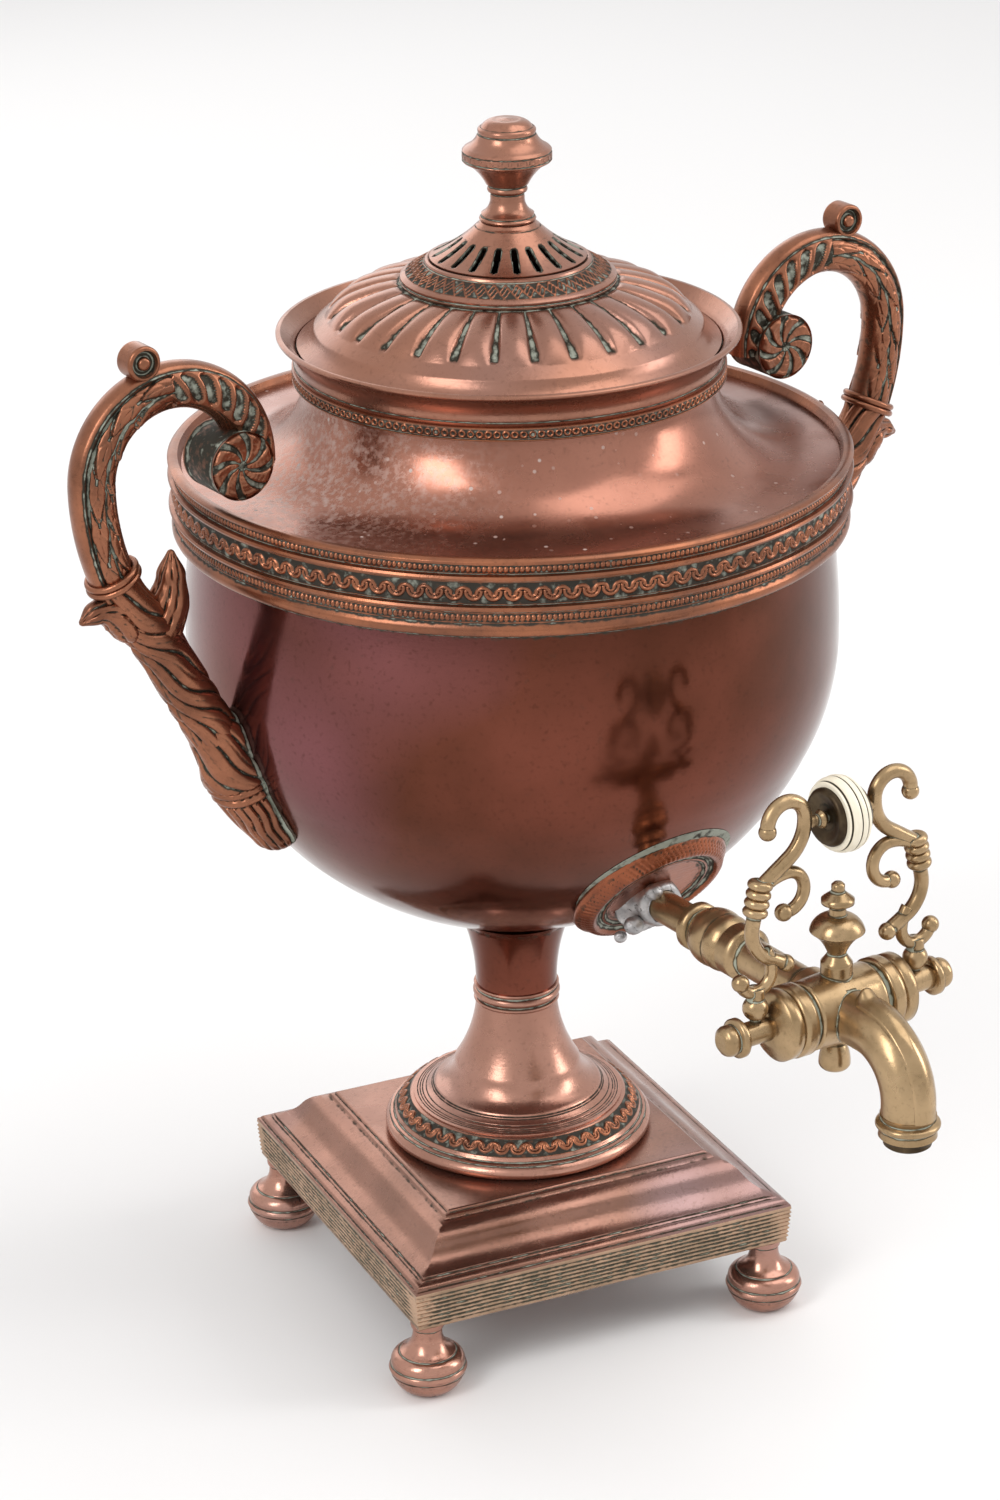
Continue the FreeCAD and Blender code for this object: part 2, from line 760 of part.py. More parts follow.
# Ornamental band, shoulder and mouth

field = S.band_radius - S.band_relief * 0.4
proud = S.band_radius + S.band_relief
plain_top = LEVEL_BAND + 4.6
bead_top = plain_top + S.band_bead_height
low_fillet_top = bead_top + S.band_fillet_height
frieze_top = low_fillet_top + S.band_frieze_height
high_fillet_top = frieze_top + S.band_fillet_height
lip_low = LEVEL_RIM - S.band_lip_height
keep("body_band", turned_body("body_band", [
    (S.bowl_top_radius + S.seat_gap, LEVEL_BAND),
    (S.band_radius, LEVEL_BAND),
    (S.band_radius + 0.3, LEVEL_BAND + 1.5),
    (S.band_radius + 0.3, plain_top),
    (field, plain_top),
    (field, bead_top),
    (proud, bead_top, -0.5),
    (proud, low_fillet_top),
    (field, low_fillet_top),
    (field, frieze_top),
    (proud, frieze_top, -0.5),
    (proud, high_fillet_top),
    (field, high_fillet_top),
    (field, lip_low),
    (S.band_lip_radius - 0.4, lip_low, -0.5),
    (S.band_lip_radius - 0.8, LEVEL_RIM),
    (S.shoulder_edge_radius + 1.2, LEVEL_RIM),
    (S.shoulder_edge_radius + S.seat_gap, LEVEL_TRAY),
    (S.shoulder_edge_radius + S.seat_gap, LEVEL_TRAY - wall),
    (S.bowl_top_radius + S.seat_gap, LEVEL_TRAY - wall),
]))

keep("shoulder", turned_body("shoulder", [
    (S.shoulder_edge_radius, LEVEL_TRAY - wall),
    (S.shoulder_edge_radius, LEVEL_TRAY),
    (S.shoulder_tray_radius, LEVEL_TRAY + 0.8, S.shoulder_sag),
    (S.shoulder_neck_radius, LEVEL_NECK),
    (S.shoulder_neck_radius - wall, LEVEL_NECK, -S.shoulder_sag),
    (S.shoulder_tray_radius - wall, LEVEL_TRAY + 0.8 - wall),
]))

keep("neck_band", turned_body("neck_band", [
    (S.mouth_bore_radius, LEVEL_NECK),
    (S.neck_band_radius - 0.4, LEVEL_NECK),
    (S.neck_band_radius, LEVEL_NECK + 0.8),
    (S.neck_band_radius - 0.5, LEVEL_NECK + 0.8),
    (S.neck_band_radius - 0.5, LEVEL_MOUTH - 0.8),
    (S.neck_band_radius, LEVEL_MOUTH - 0.8),
    (S.neck_band_radius, LEVEL_MOUTH),
    (S.mouth_bore_radius, LEVEL_MOUTH),
]))

ledge = LEVEL_LIP - S.mouth_ledge_drop
keep("mouth_rim", turned_body("mouth_rim", [
    (S.mouth_bore_radius, LEVEL_MOUTH),
    (S.mouth_cove_radius, LEVEL_MOUTH),
    (S.mouth_cove_radius + 0.3, LEVEL_MOUTH + 2.4, 1.4),
    (S.mouth_radius, LEVEL_LIP - 1.2),
    (S.mouth_radius, LEVEL_LIP - 0.4),
    (S.mouth_radius - 0.5, LEVEL_LIP),
    (S.mouth_radius - 1.6, LEVEL_LIP),
    (S.mouth_ledge_radius, ledge + 1.0),
    (S.mouth_ledge_radius, ledge),
    (S.mouth_bore_radius, ledge),
]))

# Heater: a sleeve soldered to the bowl's floor, its cap, and the iron that is heated and dropped in

sleeve_floor = LEVEL_BOWL + wall + S.seat_gap
sleeve_top = sleeve_floor + S.sleeve_height
sleeve_rise = 14.0
sleeve_blank = turned_body("sleeve_blank", [
    (0, sleeve_floor),
    (S.sleeve_radius, sleeve_floor),
    (S.sleeve_radius, sleeve_top - 2),
    (S.sleeve_flange_radius, sleeve_top),
    (S.sleeve_radius - S.sleeve_wall, sleeve_top),
    (S.sleeve_radius - S.sleeve_wall, sleeve_floor + sleeve_rise),
    (0, sleeve_floor + sleeve_rise),
])
sleeve_seat = bowl_solid("sleeve_seat", wall + S.curved_seat_gap)
keep("heater_sleeve", common("heater_sleeve", sleeve_blank, sleeve_seat))

iron_floor = sleeve_floor + sleeve_rise + S.seat_gap
iron_top = iron_floor + S.iron_height
iron_bar = turned_body("iron_bar", [
    (0, iron_floor),
    (S.iron_radius - 2, iron_floor),
    (S.iron_radius, iron_floor + 2),
    (S.iron_radius, iron_top - 3),
    (S.iron_radius - 3, iron_top),
    (S.iron_neck_radius, iron_top),
    (S.iron_neck_radius, iron_top + S.iron_neck_height),
    (0, iron_top + S.iron_neck_height),
])
iron_eye = doc.addObject("Part::Torus", "iron_eye")
bind(iron_eye, "Radius1", S.iron_eye_radius)
bind(iron_eye, "Radius2", S.iron_eye_bar_radius)
eye_height = iron_top + S.iron_neck_height + S.iron_eye_radius
place(iron_eye, 0, 0, eye_height, TO_FRONT)
keep("heater_iron", fuse("heater_iron", iron_bar, iron_eye))

cap_low = sleeve_top + S.seat_gap
cap_plug = S.sleeve_radius - S.sleeve_wall - S.lift_gap
keep("sleeve_cap", turned_body("sleeve_cap", [
    (0, cap_low),
    (cap_plug - wall, cap_low),
    (cap_plug - wall, cap_low - S.cap_plug_depth),
    (cap_plug, cap_low - S.cap_plug_depth),
    (cap_plug, cap_low),
    (S.sleeve_flange_radius, cap_low),
    (S.sleeve_flange_radius, cap_low + S.cap_thickness),
    (3.0, cap_low + S.cap_thickness + 1.5),
    (3.0, cap_low + S.cap_knob_height - 6, 1.5),
    (S.cap_knob_radius, cap_low + S.cap_knob_height - 3, -0.8),
    (2.0, cap_low + S.cap_knob_height),
    (0, cap_low + S.cap_knob_height),
]))

# Lid: dome with its bezel, the engraved ring, the pierced vent cone and the knob with its nut

lid_edge = S.mouth_ledge_radius - S.lift_gap
keep("lid_dome", turned_body("lid_dome", [
    (lid_edge, LEVEL_LID),
    (lid_edge, LEVEL_LID + S.lid_edge_thickness, 0.9),
    (S.lid_roll_radius, LEVEL_LID + S.lid_roll_rise, -S.lid_sag),
    (S.lid_crown_radius, LEVEL_CROWN),
    (S.vent_cone_radius - wall, LEVEL_CROWN + 0.8),
    (S.vent_cone_radius - wall, LEVEL_CROWN + 0.8 - wall),
    (S.lid_crown_radius, LEVEL_CROWN - wall, S.lid_sag),
    (S.lid_roll_radius - wall, LEVEL_LID + S.lid_roll_rise - wall),
    (S.mouth_bore_radius - S.lift_gap - S.bezel_wall, LEVEL_LID),
]))

bezel_radius = S.mouth_bore_radius - S.lift_gap
keep("lid_bezel", turned_body("lid_bezel", [
    (bezel_radius - S.bezel_wall, LEVEL_LID - S.bezel_depth),
    (bezel_radius - 0.6, LEVEL_LID - S.bezel_depth),
    (bezel_radius, LEVEL_LID - S.bezel_depth + 1),
    (bezel_radius, LEVEL_LID),
    (bezel_radius - S.bezel_wall, LEVEL_LID),
]))

ring_foot = LEVEL_CROWN + 0.8
keep("lid_vent_ring", turned_body("lid_vent_ring", [
    (S.vent_cone_radius - wall, ring_foot),
    (S.lid_crown_radius, LEVEL_CROWN),
    (S.vent_ring_radius, LEVEL_CROWN),
    (S.vent_ring_radius, LEVEL_CROWN + S.vent_ring_foot_height, -0.4),
    (S.vent_cone_radius + 1.4, LEVEL_CONE),
    (S.vent_cone_radius - wall, LEVEL_CONE),
]))

cone = turned_body("lid_vent_cone", [
    (S.vent_cone_radius, LEVEL_CONE),
    (S.vent_cone_radius, LEVEL_CONE + 0.8, 0.9),
    (S.vent_cone_top_radius, LEVEL_KNOB - 1.6),
    (S.vent_cone_top_radius, LEVEL_KNOB),
    (S.knob_stud_radius + S.pin_gap, LEVEL_KNOB),
    (S.knob_stud_radius + S.pin_gap, LEVEL_KNOB - 2 * wall),
    (S.vent_cone_top_radius - wall, LEVEL_KNOB - 2 * wall, -0.9),
    (S.vent_cone_radius - 2 * wall, LEVEL_CONE),
])
slot = new_sketch(cone, "slot", "XY_Plane", LEVEL_CONE)
half_slot = S.slot_width / 2
draw(slot, [
    (S.slot_start_radius, -half_slot),
    (S.slot_start_radius + S.slot_length, -half_slot),
    (S.slot_start_radius + S.slot_length, half_slot),
    (S.slot_start_radius, half_slot),
])
slot_cut = pocket(cone, slot, S.vent_cone_height, backwards=True)
slot_ring = cone.newObject("PartDesign::PolarPattern", "slot_ring")
slot_ring.Originals = [slot_cut]
slot_ring.Axis = (slot, ["N_Axis"])
slot_ring.Angle = 360
slot_ring.setExpression("Occurrences", "Sizes.slot_count")
cone.Tip = slot_ring
keep("lid_vent_cone", cone)

knob_cap_top = LEVEL_KNOB + S.knob_height
stud_bottom = LEVEL_KNOB - S.knob_stud_length
knob_mid = LEVEL_KNOB + S.knob_ball_height
keep("lid_knob", turned_body("lid_knob", [
    (0, stud_bottom),
    (S.knob_stud_radius, stud_bottom),
    (S.knob_stud_radius, LEVEL_KNOB),
    (S.knob_collar_radius, LEVEL_KNOB),
    (S.knob_collar_radius, LEVEL_KNOB + 2.4, 1.0),
    (S.knob_neck_radius, LEVEL_KNOB + S.knob_neck_height),
    (S.knob_neck_radius, LEVEL_KNOB + S.knob_neck_height + 4.0),
    (S.knob_cup_radius, LEVEL_KNOB + S.knob_cup_height, 0.5),
    (S.knob_ball_radius - 1.0, knob_mid - 1.8),
    (S.knob_ball_radius, knob_mid - 1.2),
    (S.knob_ball_radius, knob_mid + 1.6),
    (S.knob_ball_radius - 0.4, knob_mid + 4.6, -0.8),
    (S.knob_groove_radius, LEVEL_KNOB + S.knob_groove_height),
    (S.knob_cap_radius + 1.0, LEVEL_KNOB + S.knob_groove_height + 1.0),
    (S.knob_cap_radius, knob_cap_top - 1.6, -0.6),
    (3.0, knob_cap_top),
    (0, knob_cap_top),
]))

nut_top = LEVEL_KNOB - 2 * wall - S.seat_gap
nut_blank = doc.addObject("Part::Prism", "knob_nut_blank")
nut_blank.Polygon = 6
bind(nut_blank, "Circumradius", S.knob_nut_radius)
bind(nut_blank, "Height", S.knob_nut_height)
place(nut_blank, 0, 0, nut_top - S.knob_nut_height)
nut_bore = rod("knob_nut_bore", S.knob_stud_radius + S.pin_gap, S.knob_nut_height, 0, 0,
               nut_top - S.knob_nut_height)
keep("knob_nut", cut("knob_nut", nut_blank, nut_bore))

# Handles: an upper scroll that ends in a volute, and an arm that lies on the bowl as a leaf. Round
# bars follow tangent arcs; a move of a path is (radius, turn in degrees) or (length,).

def scroll_path(name, start, heading, moves):
    """A sketch in the XZ plane of lines and arcs joined end to end, each tangent to the last."""
    path = doc.addObject("Sketcher::SketchObject", name)
    path.Placement = Placement(Vector(0, 0, 0), Rotation(X_AXIS, 90))
    point = Vector(as_size(start[0]).value, as_size(start[1]).value, 0)
    angle = math.radians(heading)
    before = None
    for index, move in enumerate(moves):
        ahead = Vector(math.cos(angle), math.sin(angle), 0)
        size = as_size(move[0])
        if len(move) == 1:
            end = point + ahead * size.value
            path.addGeometry(Part.LineSegment(point, end), False)
            first, last = 1, 2
            rule = path.addConstraint(Sketcher.Constraint("Distance", index, size.value))
            if index == 0:
                path.addConstraint(Sketcher.Constraint("Angle", index, angle))
        else:
            turn = math.radians(move[1])
            side = 1 if turn > 0 else -1
            centre = point + Vector(-ahead.y, ahead.x, 0) * side * size.value
            begin = math.atan2(point.y - centre.y, point.x - centre.x)
            end = centre + Rotation(Z_AXIS, move[1]).multVec(point - centre)
            circle = Part.Circle(centre, Z_AXIS, size.value)
            span = (begin, begin + turn) if side > 0 else (begin + turn, begin)
            path.addGeometry(Part.ArcOfCircle(circle, *span), False)
            first, last = (1, 2) if side > 0 else (2, 1)
            path.addConstraint(Sketcher.Constraint("Angle", index, abs(turn)))
            rule = path.addConstraint(Sketcher.Constraint("Radius", index, size.value))
            angle += turn
        path.setExpression(f"Constraints[{rule}]", size.text)
        if index == 0:
            pin_point(path, index, first, start)
        else:
            path.addConstraint(Sketcher.Constraint("Tangent", index - 1, before, index, first))
        before = last
        point = end
    return path, point


def swept_bar(name, path, radius):
    """A round bar along a path sketch."""
    section = doc.addObject("Sketcher::SketchObject", f"{name}_section")
    section.AttachmentSupport = [(path, "Edge1")]
    section.MapMode = "NormalToEdge"
    section.MapPathParameter = 0
    radius = as_size(radius)
    section.addGeometry(Part.Circle(Vector(0, 0, 0), Z_AXIS, radius.value), False)
    section.addConstraint(Sketcher.Constraint("Coincident", 0, 3, -1, 1))
    rule = section.addConstraint(Sketcher.Constraint("Radius", 0, radius.value))
    section.setExpression(f"Constraints[{rule}]", radius.text)
    sweep = doc.addObject("Part::Sweep", name)
    sweep.Sections = [section]
    sweep.Spine = (path, [f"Edge{index + 1}" for index in range(path.GeometryCount)])
    sweep.Solid = True
    return sweep


def ball(name, radius, across, height, facing=0):
    """A ball with its poles along Y and its seam turned away from the bars that enter it."""
    sphere = doc.addObject("Part::Sphere", name)
    bind(sphere, "Radius", radius)
    return place(sphere, across, 0, height, Rotation(X_AXIS, 90) * Rotation(Z_AXIS, facing))


arch_x = S.handle_reach
arch_z = S.handle_height
arch = S.handle_arch_radius
scroll_spine, scroll_end = scroll_path("scroll_spine", (arch_x - arch, arch_z - 2), 90, [
    (2,),
    (arch, -180),
    (S.handle_drop_radius, -20),
])
scroll_bar = swept_bar("scroll_bar", scroll_spine, S.handle_bar_radius)
volute = rod("volute", S.volute_radius, S.volute_thickness, arch_x - 21.0,
             S.volute_thickness / 2, arch_z + 0.5, TO_FRONT)
curl = rod("top_curl", S.curl_radius, S.curl_length, arch_x + 10.6, S.curl_length / 2,
           arch_z + arch + S.handle_bar_radius + 2.0, TO_FRONT)
scroll = keep("handle_scroll_right", fuse("handle_scroll_right", scroll_bar, volute, curl))
mirrored("handle_scroll_left", scroll)

# The arm starts on the plane where the scroll ends; the calyx tips lie just below that plane.
joint_drop = S.handle_drop_radius * math.sin(math.radians(20))
joint_in = S.handle_drop_radius * (1 - math.cos(math.radians(20)))
joint_x = arch_x + arch - joint_in
joint_z = arch_z - joint_drop
slope = math.tan(math.radians(20))


def under_joint(across, drop):
    """A point across from the joint and below its plane."""
    return (joint_x + across, joint_z - slope * across - drop)


calyx = doc.addObject("PartDesign::Body", "calyx")
calyx_outline = new_sketch(calyx, "calyx_outline")
draw(calyx_outline, [
    under_joint(-8.6, 0.06),
    under_joint(7.8, 0.06),
    under_joint(12.6, 7.2) + (0.8,),
    under_joint(3.8, 17.2),
    under_joint(-8.2, 32.1),
    under_joint(-20.2, 40.4),
    under_joint(-24.0, 30.0) + (0.5,),
    under_joint(-22.4, 20.0) + (0.8,),
    under_joint(-21.2, 3.6) + (0.9,),
    under_joint(-11.0, 5.0),
])
pad(calyx, calyx_outline, S.calyx_thickness, midplane=True)
arm_spine, arm_end = scroll_path("arm_spine", (joint_x - 0.02, joint_z - 0.06), -110, [
    (1.0,),
    (60.0, -13),
    (14.0,),
    (90.0, 5),
    (37.0,),
])
arm_bar = swept_bar("arm_bar", arm_spine, S.arm_bar_radius)
leaf_start = (arch_x - 12.2, arch_z - 94.5)
leaf_spine, leaf_end = scroll_path("leaf_spine", leaf_start, -114, [
    (14.0,),
    (90.0, -12),
    (12.0,),
])
leaf_bar = swept_bar("leaf_bar", leaf_spine, S.leaf_bar_radius)
leaf_top = ball("leaf_top", S.leaf_bar_radius + 0.2, *leaf_start)
leaf_tip = ball("leaf_tip", S.leaf_bar_radius + 0.2, leaf_end.x, leaf_end.y, -126)
leaf_blank = fuse("leaf_blank", calyx, arm_bar, leaf_bar, leaf_top, leaf_tip)
leaf_trimmed = cut("leaf_trimmed", leaf_blank, bowl_former)

# Two rivets hold each leaf; their bores stop inside it and their heads lie inside the bowl.

bore_stop = S.bowl_belly_radius + 2


def side_pair(name, radius, start, length):
    """Two level rods towards +X, one at each rivet height."""
    pair = [rod(f"{name}_{which}", radius, length, start, 0, height, TO_RIGHT)
            for which, height in zip(("low", "high"), rivet_heights)]
    return fuse(name, *pair)


rivet_start = S.bowl_low_radius + 6
leaf_bores = side_pair("leaf_bores", S.rivet_radius + S.pin_gap, rivet_start, bore_stop - rivet_start)
leaf = keep("handle_leaf_right", cut("handle_leaf_right", leaf_trimmed, leaf_bores))
mirrored("handle_leaf_left", leaf)

shanks = side_pair("shanks", S.rivet_radius, rivet_start, bore_stop - rivet_start - S.seat_gap)
heads = side_pair("heads", S.rivet_head_radius, rivet_start, S.bowl_belly_radius - rivet_start)
head_space = bowl_solid("head_space", wall + S.curved_seat_gap)
head_limit = bowl_solid("head_limit", wall + S.curved_seat_gap + S.rivet_head_height)
head_tips = cut("head_tips", common("head_cores", heads, head_space), head_limit)
shank_tips = cut("shank_tips", shanks, head_limit)
rivets_right = fuse("rivets_right", head_tips, shank_tips)
rivets_left = doc.addObject("Part::Mirroring", "rivets_left")
rivets_left.Source = rivets_right
rivets_left.Normal = X_AXIS
keep("handle_rivets", doc.addObject("Part::Compound", "handle_rivets")).Links = [
    rivets_right,
    rivets_left,
]

# Tap: the pipe and its plate on the bowl. Outlines here run from the barrel's axis towards the bowl.

pipe_start = S.tap_reach - S.tail_length - 12


def tail_point(radius, reach):
    """A point of the tail's outline; reach is counted from the urn's axis."""
    return (radius, reach - S.tap_reach)


TO_TAP = Rotation(X_AXIS, 90)
barrel_back = S.tap_reach - S.barrel_radius
tail = turned_body("tap_tail", [
    tail_point(S.pipe_bore_radius, pipe_start),
    tail_point(S.pipe_radius, pipe_start),
    tail_point(S.pipe_radius, S.tail_collar_reach - 2),
    tail_point(S.tail_collar_radius, S.tail_collar_reach - 1.4, ),
    tail_point(S.tail_collar_radius, S.tail_collar_reach + 1.4),
    tail_point(S.pipe_radius + 1.2, S.tail_collar_reach + 2.4) + (-1.6,),
    tail_point(S.tail_bulb_radius, S.tail_bulb_reach) + (-0.9,),
    tail_point(S.tail_ring_radius - 1.4, S.tail_ring_reach - 3.4),
    tail_point(S.tail_ring_radius, S.tail_ring_reach - 3),
    tail_point(S.tail_ring_radius, S.tail_ring_reach + 3),
    tail_point(S.tail_neck_radius, S.tail_ring_reach + 5),
    tail_point(S.tail_neck_radius, barrel_back - 4),
    tail_point(S.tail_neck_radius + 1.6, barrel_back - 1.5),
    tail_point(S.pipe_bore_radius, barrel_back - 1.5),
])
place(tail, 0, -S.tap_reach, LEVEL_TAP, TO_TAP)
keep("tap_tail", tail)

plate_normal = Rotation(X_AXIS, 90 + float(SIZES["escutcheon_slope"]))
plate_back = -6
plate = turned_body("escutcheon_blank", [
    (0, plate_back),
    (S.escutcheon_radius - 1.0, plate_back),
    (S.escutcheon_radius, S.escutcheon_edge_height, -1.0),
    (S.escutcheon_radius - S.escutcheon_rim_width, S.escutcheon_rim_height),
    (S.escutcheon_radius - S.escutcheon_rim_width - 1.2, S.escutcheon_field_height + 0.8),
    (S.escutcheon_radius - S.escutcheon_rim_width - 5, S.escutcheon_field_height + 0.8),
    (S.escutcheon_radius - S.escutcheon_rim_width - 6, S.escutcheon_field_height),
    (0, S.escutcheon_field_height),
])
place(plate, 0, -tap_seat_radius - 1.6, LEVEL_TAP + S.escutcheon_rise, plate_normal)
plate.setExpression("Placement.Rotation.Angle", "90 + Sizes.escutcheon_slope")
pipe_clearance = rod("pipe_clearance", S.pipe_radius + S.pin_gap, S.tap_reach, 0, 0, LEVEL_TAP, TO_TAP)
plate_seated = cut("plate_seated", plate, bowl_former)
keep("tap_escutcheon", cut("tap_escutcheon", plate_seated, pipe_clearance))

solder_start = -8
solder = turned_body("solder_blank", [
    (S.pipe_radius + S.pin_gap, solder_start),
    (S.solder_radius, solder_start),
    (S.solder_radius, S.solder_length - 4, -0.6),
    (S.pipe_radius + 0.8, S.solder_length),
    (S.pipe_radius + S.pin_gap, S.solder_length),
])
place(solder, 0, -tap_seat_radius, LEVEL_TAP, TO_TAP)
plate_skin = turned_body("plate_skin", [
    (0, plate_back),
    (S.escutcheon_radius, plate_back),
    (S.escutcheon_radius, S.escutcheon_field_height + S.curved_seat_gap),
    (0, S.escutcheon_field_height + S.curved_seat_gap),
])
place(plate_skin, 0, -tap_seat_radius - 1.6, LEVEL_TAP + S.escutcheon_rise, plate_normal)
plate_skin.setExpression("Placement.Rotation.Angle", "90 + Sizes.escutcheon_slope")
solder_above = cut("solder_above", solder, plate_skin)
keep("tap_solder", cut("tap_solder", solder_above, bowl_former))

# Tap body: a level barrel, the bent spout, a boss on top for the finial and one below

half = S.barrel_half_length
barrel_bead = S.barrel_bead_radius
barrel = turned_body("tap_body", [
    (-half, 0),
    (-half, barrel_bead - 1),
    (1 - half, barrel_bead),
    (5 - half, barrel_bead),
    (5.6 - half, S.barrel_groove_radius),
    (6.8 - half, S.barrel_groove_radius),
    (7.4 - half, barrel_bead - 0.6),
    (9.4 - half, barrel_bead - 0.6, 0.5),
    (half - 9.4, barrel_bead - 0.6),
    (half - 7.4, barrel_bead - 0.6),
    (half - 6.8, S.barrel_groove_radius),
    (half - 5.6, S.barrel_groove_radius),
    (half - 5, barrel_bead),
    (half - 1, barrel_bead),
    (half, barrel_bead - 1),
    (half, 0),
], "H_Axis")

socket = circle_sketch(barrel, "tail_socket", "XZ_Plane", 0, 0, S.tail_neck_radius + 1.6)
pad(barrel, socket, S.barrel_radius + 1.4, backwards=True)
boss = circle_sketch(barrel, "finial_boss", "XY_Plane", 0, 0, S.finial_foot_radius)
pad(barrel, boss, S.barrel_radius + 1)

spout_path = new_sketch(barrel, "spout_path", "YZ_Plane")
bend_start = -S.spout_run
bend = S.spout_bend_radius
path_run = Part.LineSegment(Vector(-6, 0, 0), Vector(bend_start.value, 0, 0))
bend_circle = Part.Circle(Vector(bend_start.value, -bend.value, 0), Z_AXIS, bend.value)
path_bend = Part.ArcOfCircle(bend_circle, math.pi / 2, math.pi)
path_drop = Part.LineSegment(Vector((bend_start - bend).value, -bend.value, 0),
                             Vector((bend_start - bend).value, -(bend + S.spout_drop).value, 0))
for piece in (path_run, path_bend, path_drop):
    spout_path.addGeometry(piece, False)
spout_path.addConstraint(Sketcher.Constraint("Tangent", 0, 2, 1, 1))
spout_path.addConstraint(Sketcher.Constraint("Tangent", 1, 2, 2, 1))
spout_path.addConstraint(Sketcher.Constraint("Vertical", 2))
pin_point(spout_path, 0, 1, (-6, 0))
pin_point(spout_path, 0, 2, (bend_start, 0))
radius_rule = spout_path.addConstraint(Sketcher.Constraint("Radius", 1, bend.value))
spout_path.setExpression(f"Constraints[{radius_rule}]", bend.text)
drop_rule = spout_path.addConstraint(Sketcher.Constraint("DistanceY", 2, 2, 2, 1, SIZES["spout_drop"]))
spout_path.setExpression(f"Constraints[{drop_rule}]", S.spout_drop.text)

spout_section = circle_sketch(barrel, "spout_section", "XZ_Plane", 0, 0, S.spout_radius, as_size(6))
spout = barrel.newObject("PartDesign::AdditivePipe", "spout")
spout.Profile = spout_section
spout.Spine = (spout_path, ["Edge1", "Edge2", "Edge3"])

plug_bore = new_sketch(barrel, "plug_bore_outline")
draw(plug_bore, [
    (-half, 0),
    (-half, S.plug_large_radius + S.running_gap),
    (half, S.plug_small_radius + S.running_gap),
    (half, 0),
])
bore_turn = barrel.newObject("PartDesign::Groove", "plug_bore")
bore_turn.Profile = plug_bore
bore_turn.ReferenceAxis = (plug_bore, ["H_Axis"])
bore_turn.Angle = 360

spout_way = circle_sketch(barrel, "spout_way_section", "XZ_Plane", 0, 0, S.spout_bore_radius, as_size(6))
way = barrel.newObject("PartDesign::SubtractivePipe", "spout_way")
way.Profile = spout_way
way.Spine = (spout_path, ["Edge1", "Edge2", "Edge3"])

tail_way = circle_sketch(barrel, "tail_way_section", "XZ_Plane", 0, 0, S.pipe_bore_radius)
pocket(barrel, tail_way, S.barrel_radius + 4)
finial_hole = circle_sketch(barrel, "finial_hole", "XY_Plane", 0, 0, S.finial_stud_radius + S.pin_gap,
                            S.barrel_radius - 3)
pocket(barrel, finial_hole, 6, backwards=True)
place(barrel, 0, -S.tap_reach, LEVEL_TAP)
keep("tap_body", barrel)

nozzle_top = LEVEL_TAP - bend - S.spout_drop
nozzle_depth = -(S.tap_reach + S.spout_run + bend)
nozzle = turned_body("spout_nozzle", [
    (S.spout_bore_radius, 0),
    (S.nozzle_radius - 0.8, 0),
    (S.nozzle_radius - 1.4, -1.8),
    (S.nozzle_radius, -2.4, 0.6),
    (S.nozzle_radius, -4.4),
    (S.nozzle_radius - 0.7, -4.8),
    (S.nozzle_radius - 0.4, -S.nozzle_height),
    (S.spout_bore_radius, -S.nozzle_height),
])
keep("spout_nozzle", place(nozzle, 0, nozzle_depth, nozzle_top))
outlet = turned_body("spout_outlet", [
    (S.spout_bore_radius, 0),
    (S.outlet_radius, 0),
    (S.outlet_radius, 0.6 - S.outlet_length),
    (S.outlet_radius - 0.6, -S.outlet_length),
    (S.spout_bore_radius, -S.outlet_length),
])
keep("spout_outlet", place(outlet, 0, nozzle_depth, nozzle_top - S.nozzle_height))

finial_foot = LEVEL_TAP + S.barrel_radius + 1
finial_top = S.finial_height
finial = turned_body("tap_finial", [
    (0, -4.0),
    (S.finial_stud_radius, -4.0),
    (S.finial_stud_radius, 0),
    (S.finial_foot_radius, 0),
    (S.finial_foot_radius, 2.2),
    (S.finial_foot_radius - 2.2, 5.2, 0.8),
    (S.finial_bulb_radius, 13.2, -1.4),
    (2.9, 18.6),
    (2.7, 21.4),
    (S.finial_disc_radius, 22.8),
    (S.finial_disc_radius, 24.2),
    (2.2, 26.8),
    (2.2, finial_top - 0.8),
    (1.4, finial_top),
    (0, finial_top),
])
keep("tap_finial", place(finial, 0, -S.tap_reach, finial_foot))

pendant = turned_body("pendant_blank", [
    (0, -S.pendant_length),
    (S.pendant_radius - 3.4, -S.pendant_length, -0.8),
    (S.pendant_radius, 2 - S.pendant_length, -0.5),
    (S.pendant_radius - 1.6, 0),
    (S.pendant_radius - 1.6, 5),
    (0, 5),
])
place(pendant, 0, -S.tap_reach, LEVEL_TAP - S.barrel_radius)
barrel_envelope = rod("barrel_envelope", barrel_bead - 0.2, 2 * half, -half, -S.tap_reach, LEVEL_TAP,
                      TO_RIGHT)
keep("tap_pendant", cut("tap_pendant", cut("pendant_off_barrel", pendant, barrel_envelope), barrel))

cap_right = turned_body("barrel_cap_right", [
    (half, S.shaft_radius + S.running_gap),
    (half, S.barrel_cap_radius - 0.8),
    (half + 1, S.barrel_cap_radius),
    (half + S.barrel_cap_length - 3.4, S.barrel_cap_radius),
    (half + S.barrel_cap_length - 2.4, S.barrel_cap_radius - 1.2),
    (half + S.barrel_cap_length, S.shaft_radius + 1.4),
    (half + S.barrel_cap_length, S.shaft_radius + S.running_gap),
], "H_Axis")
place(cap_right, 0, -S.tap_reach, LEVEL_TAP)
keep("barrel_cap_right", cap_right)
mirrored("barrel_cap_left", cap_right)

# Plug and shaft, turned as one piece, with the port across it

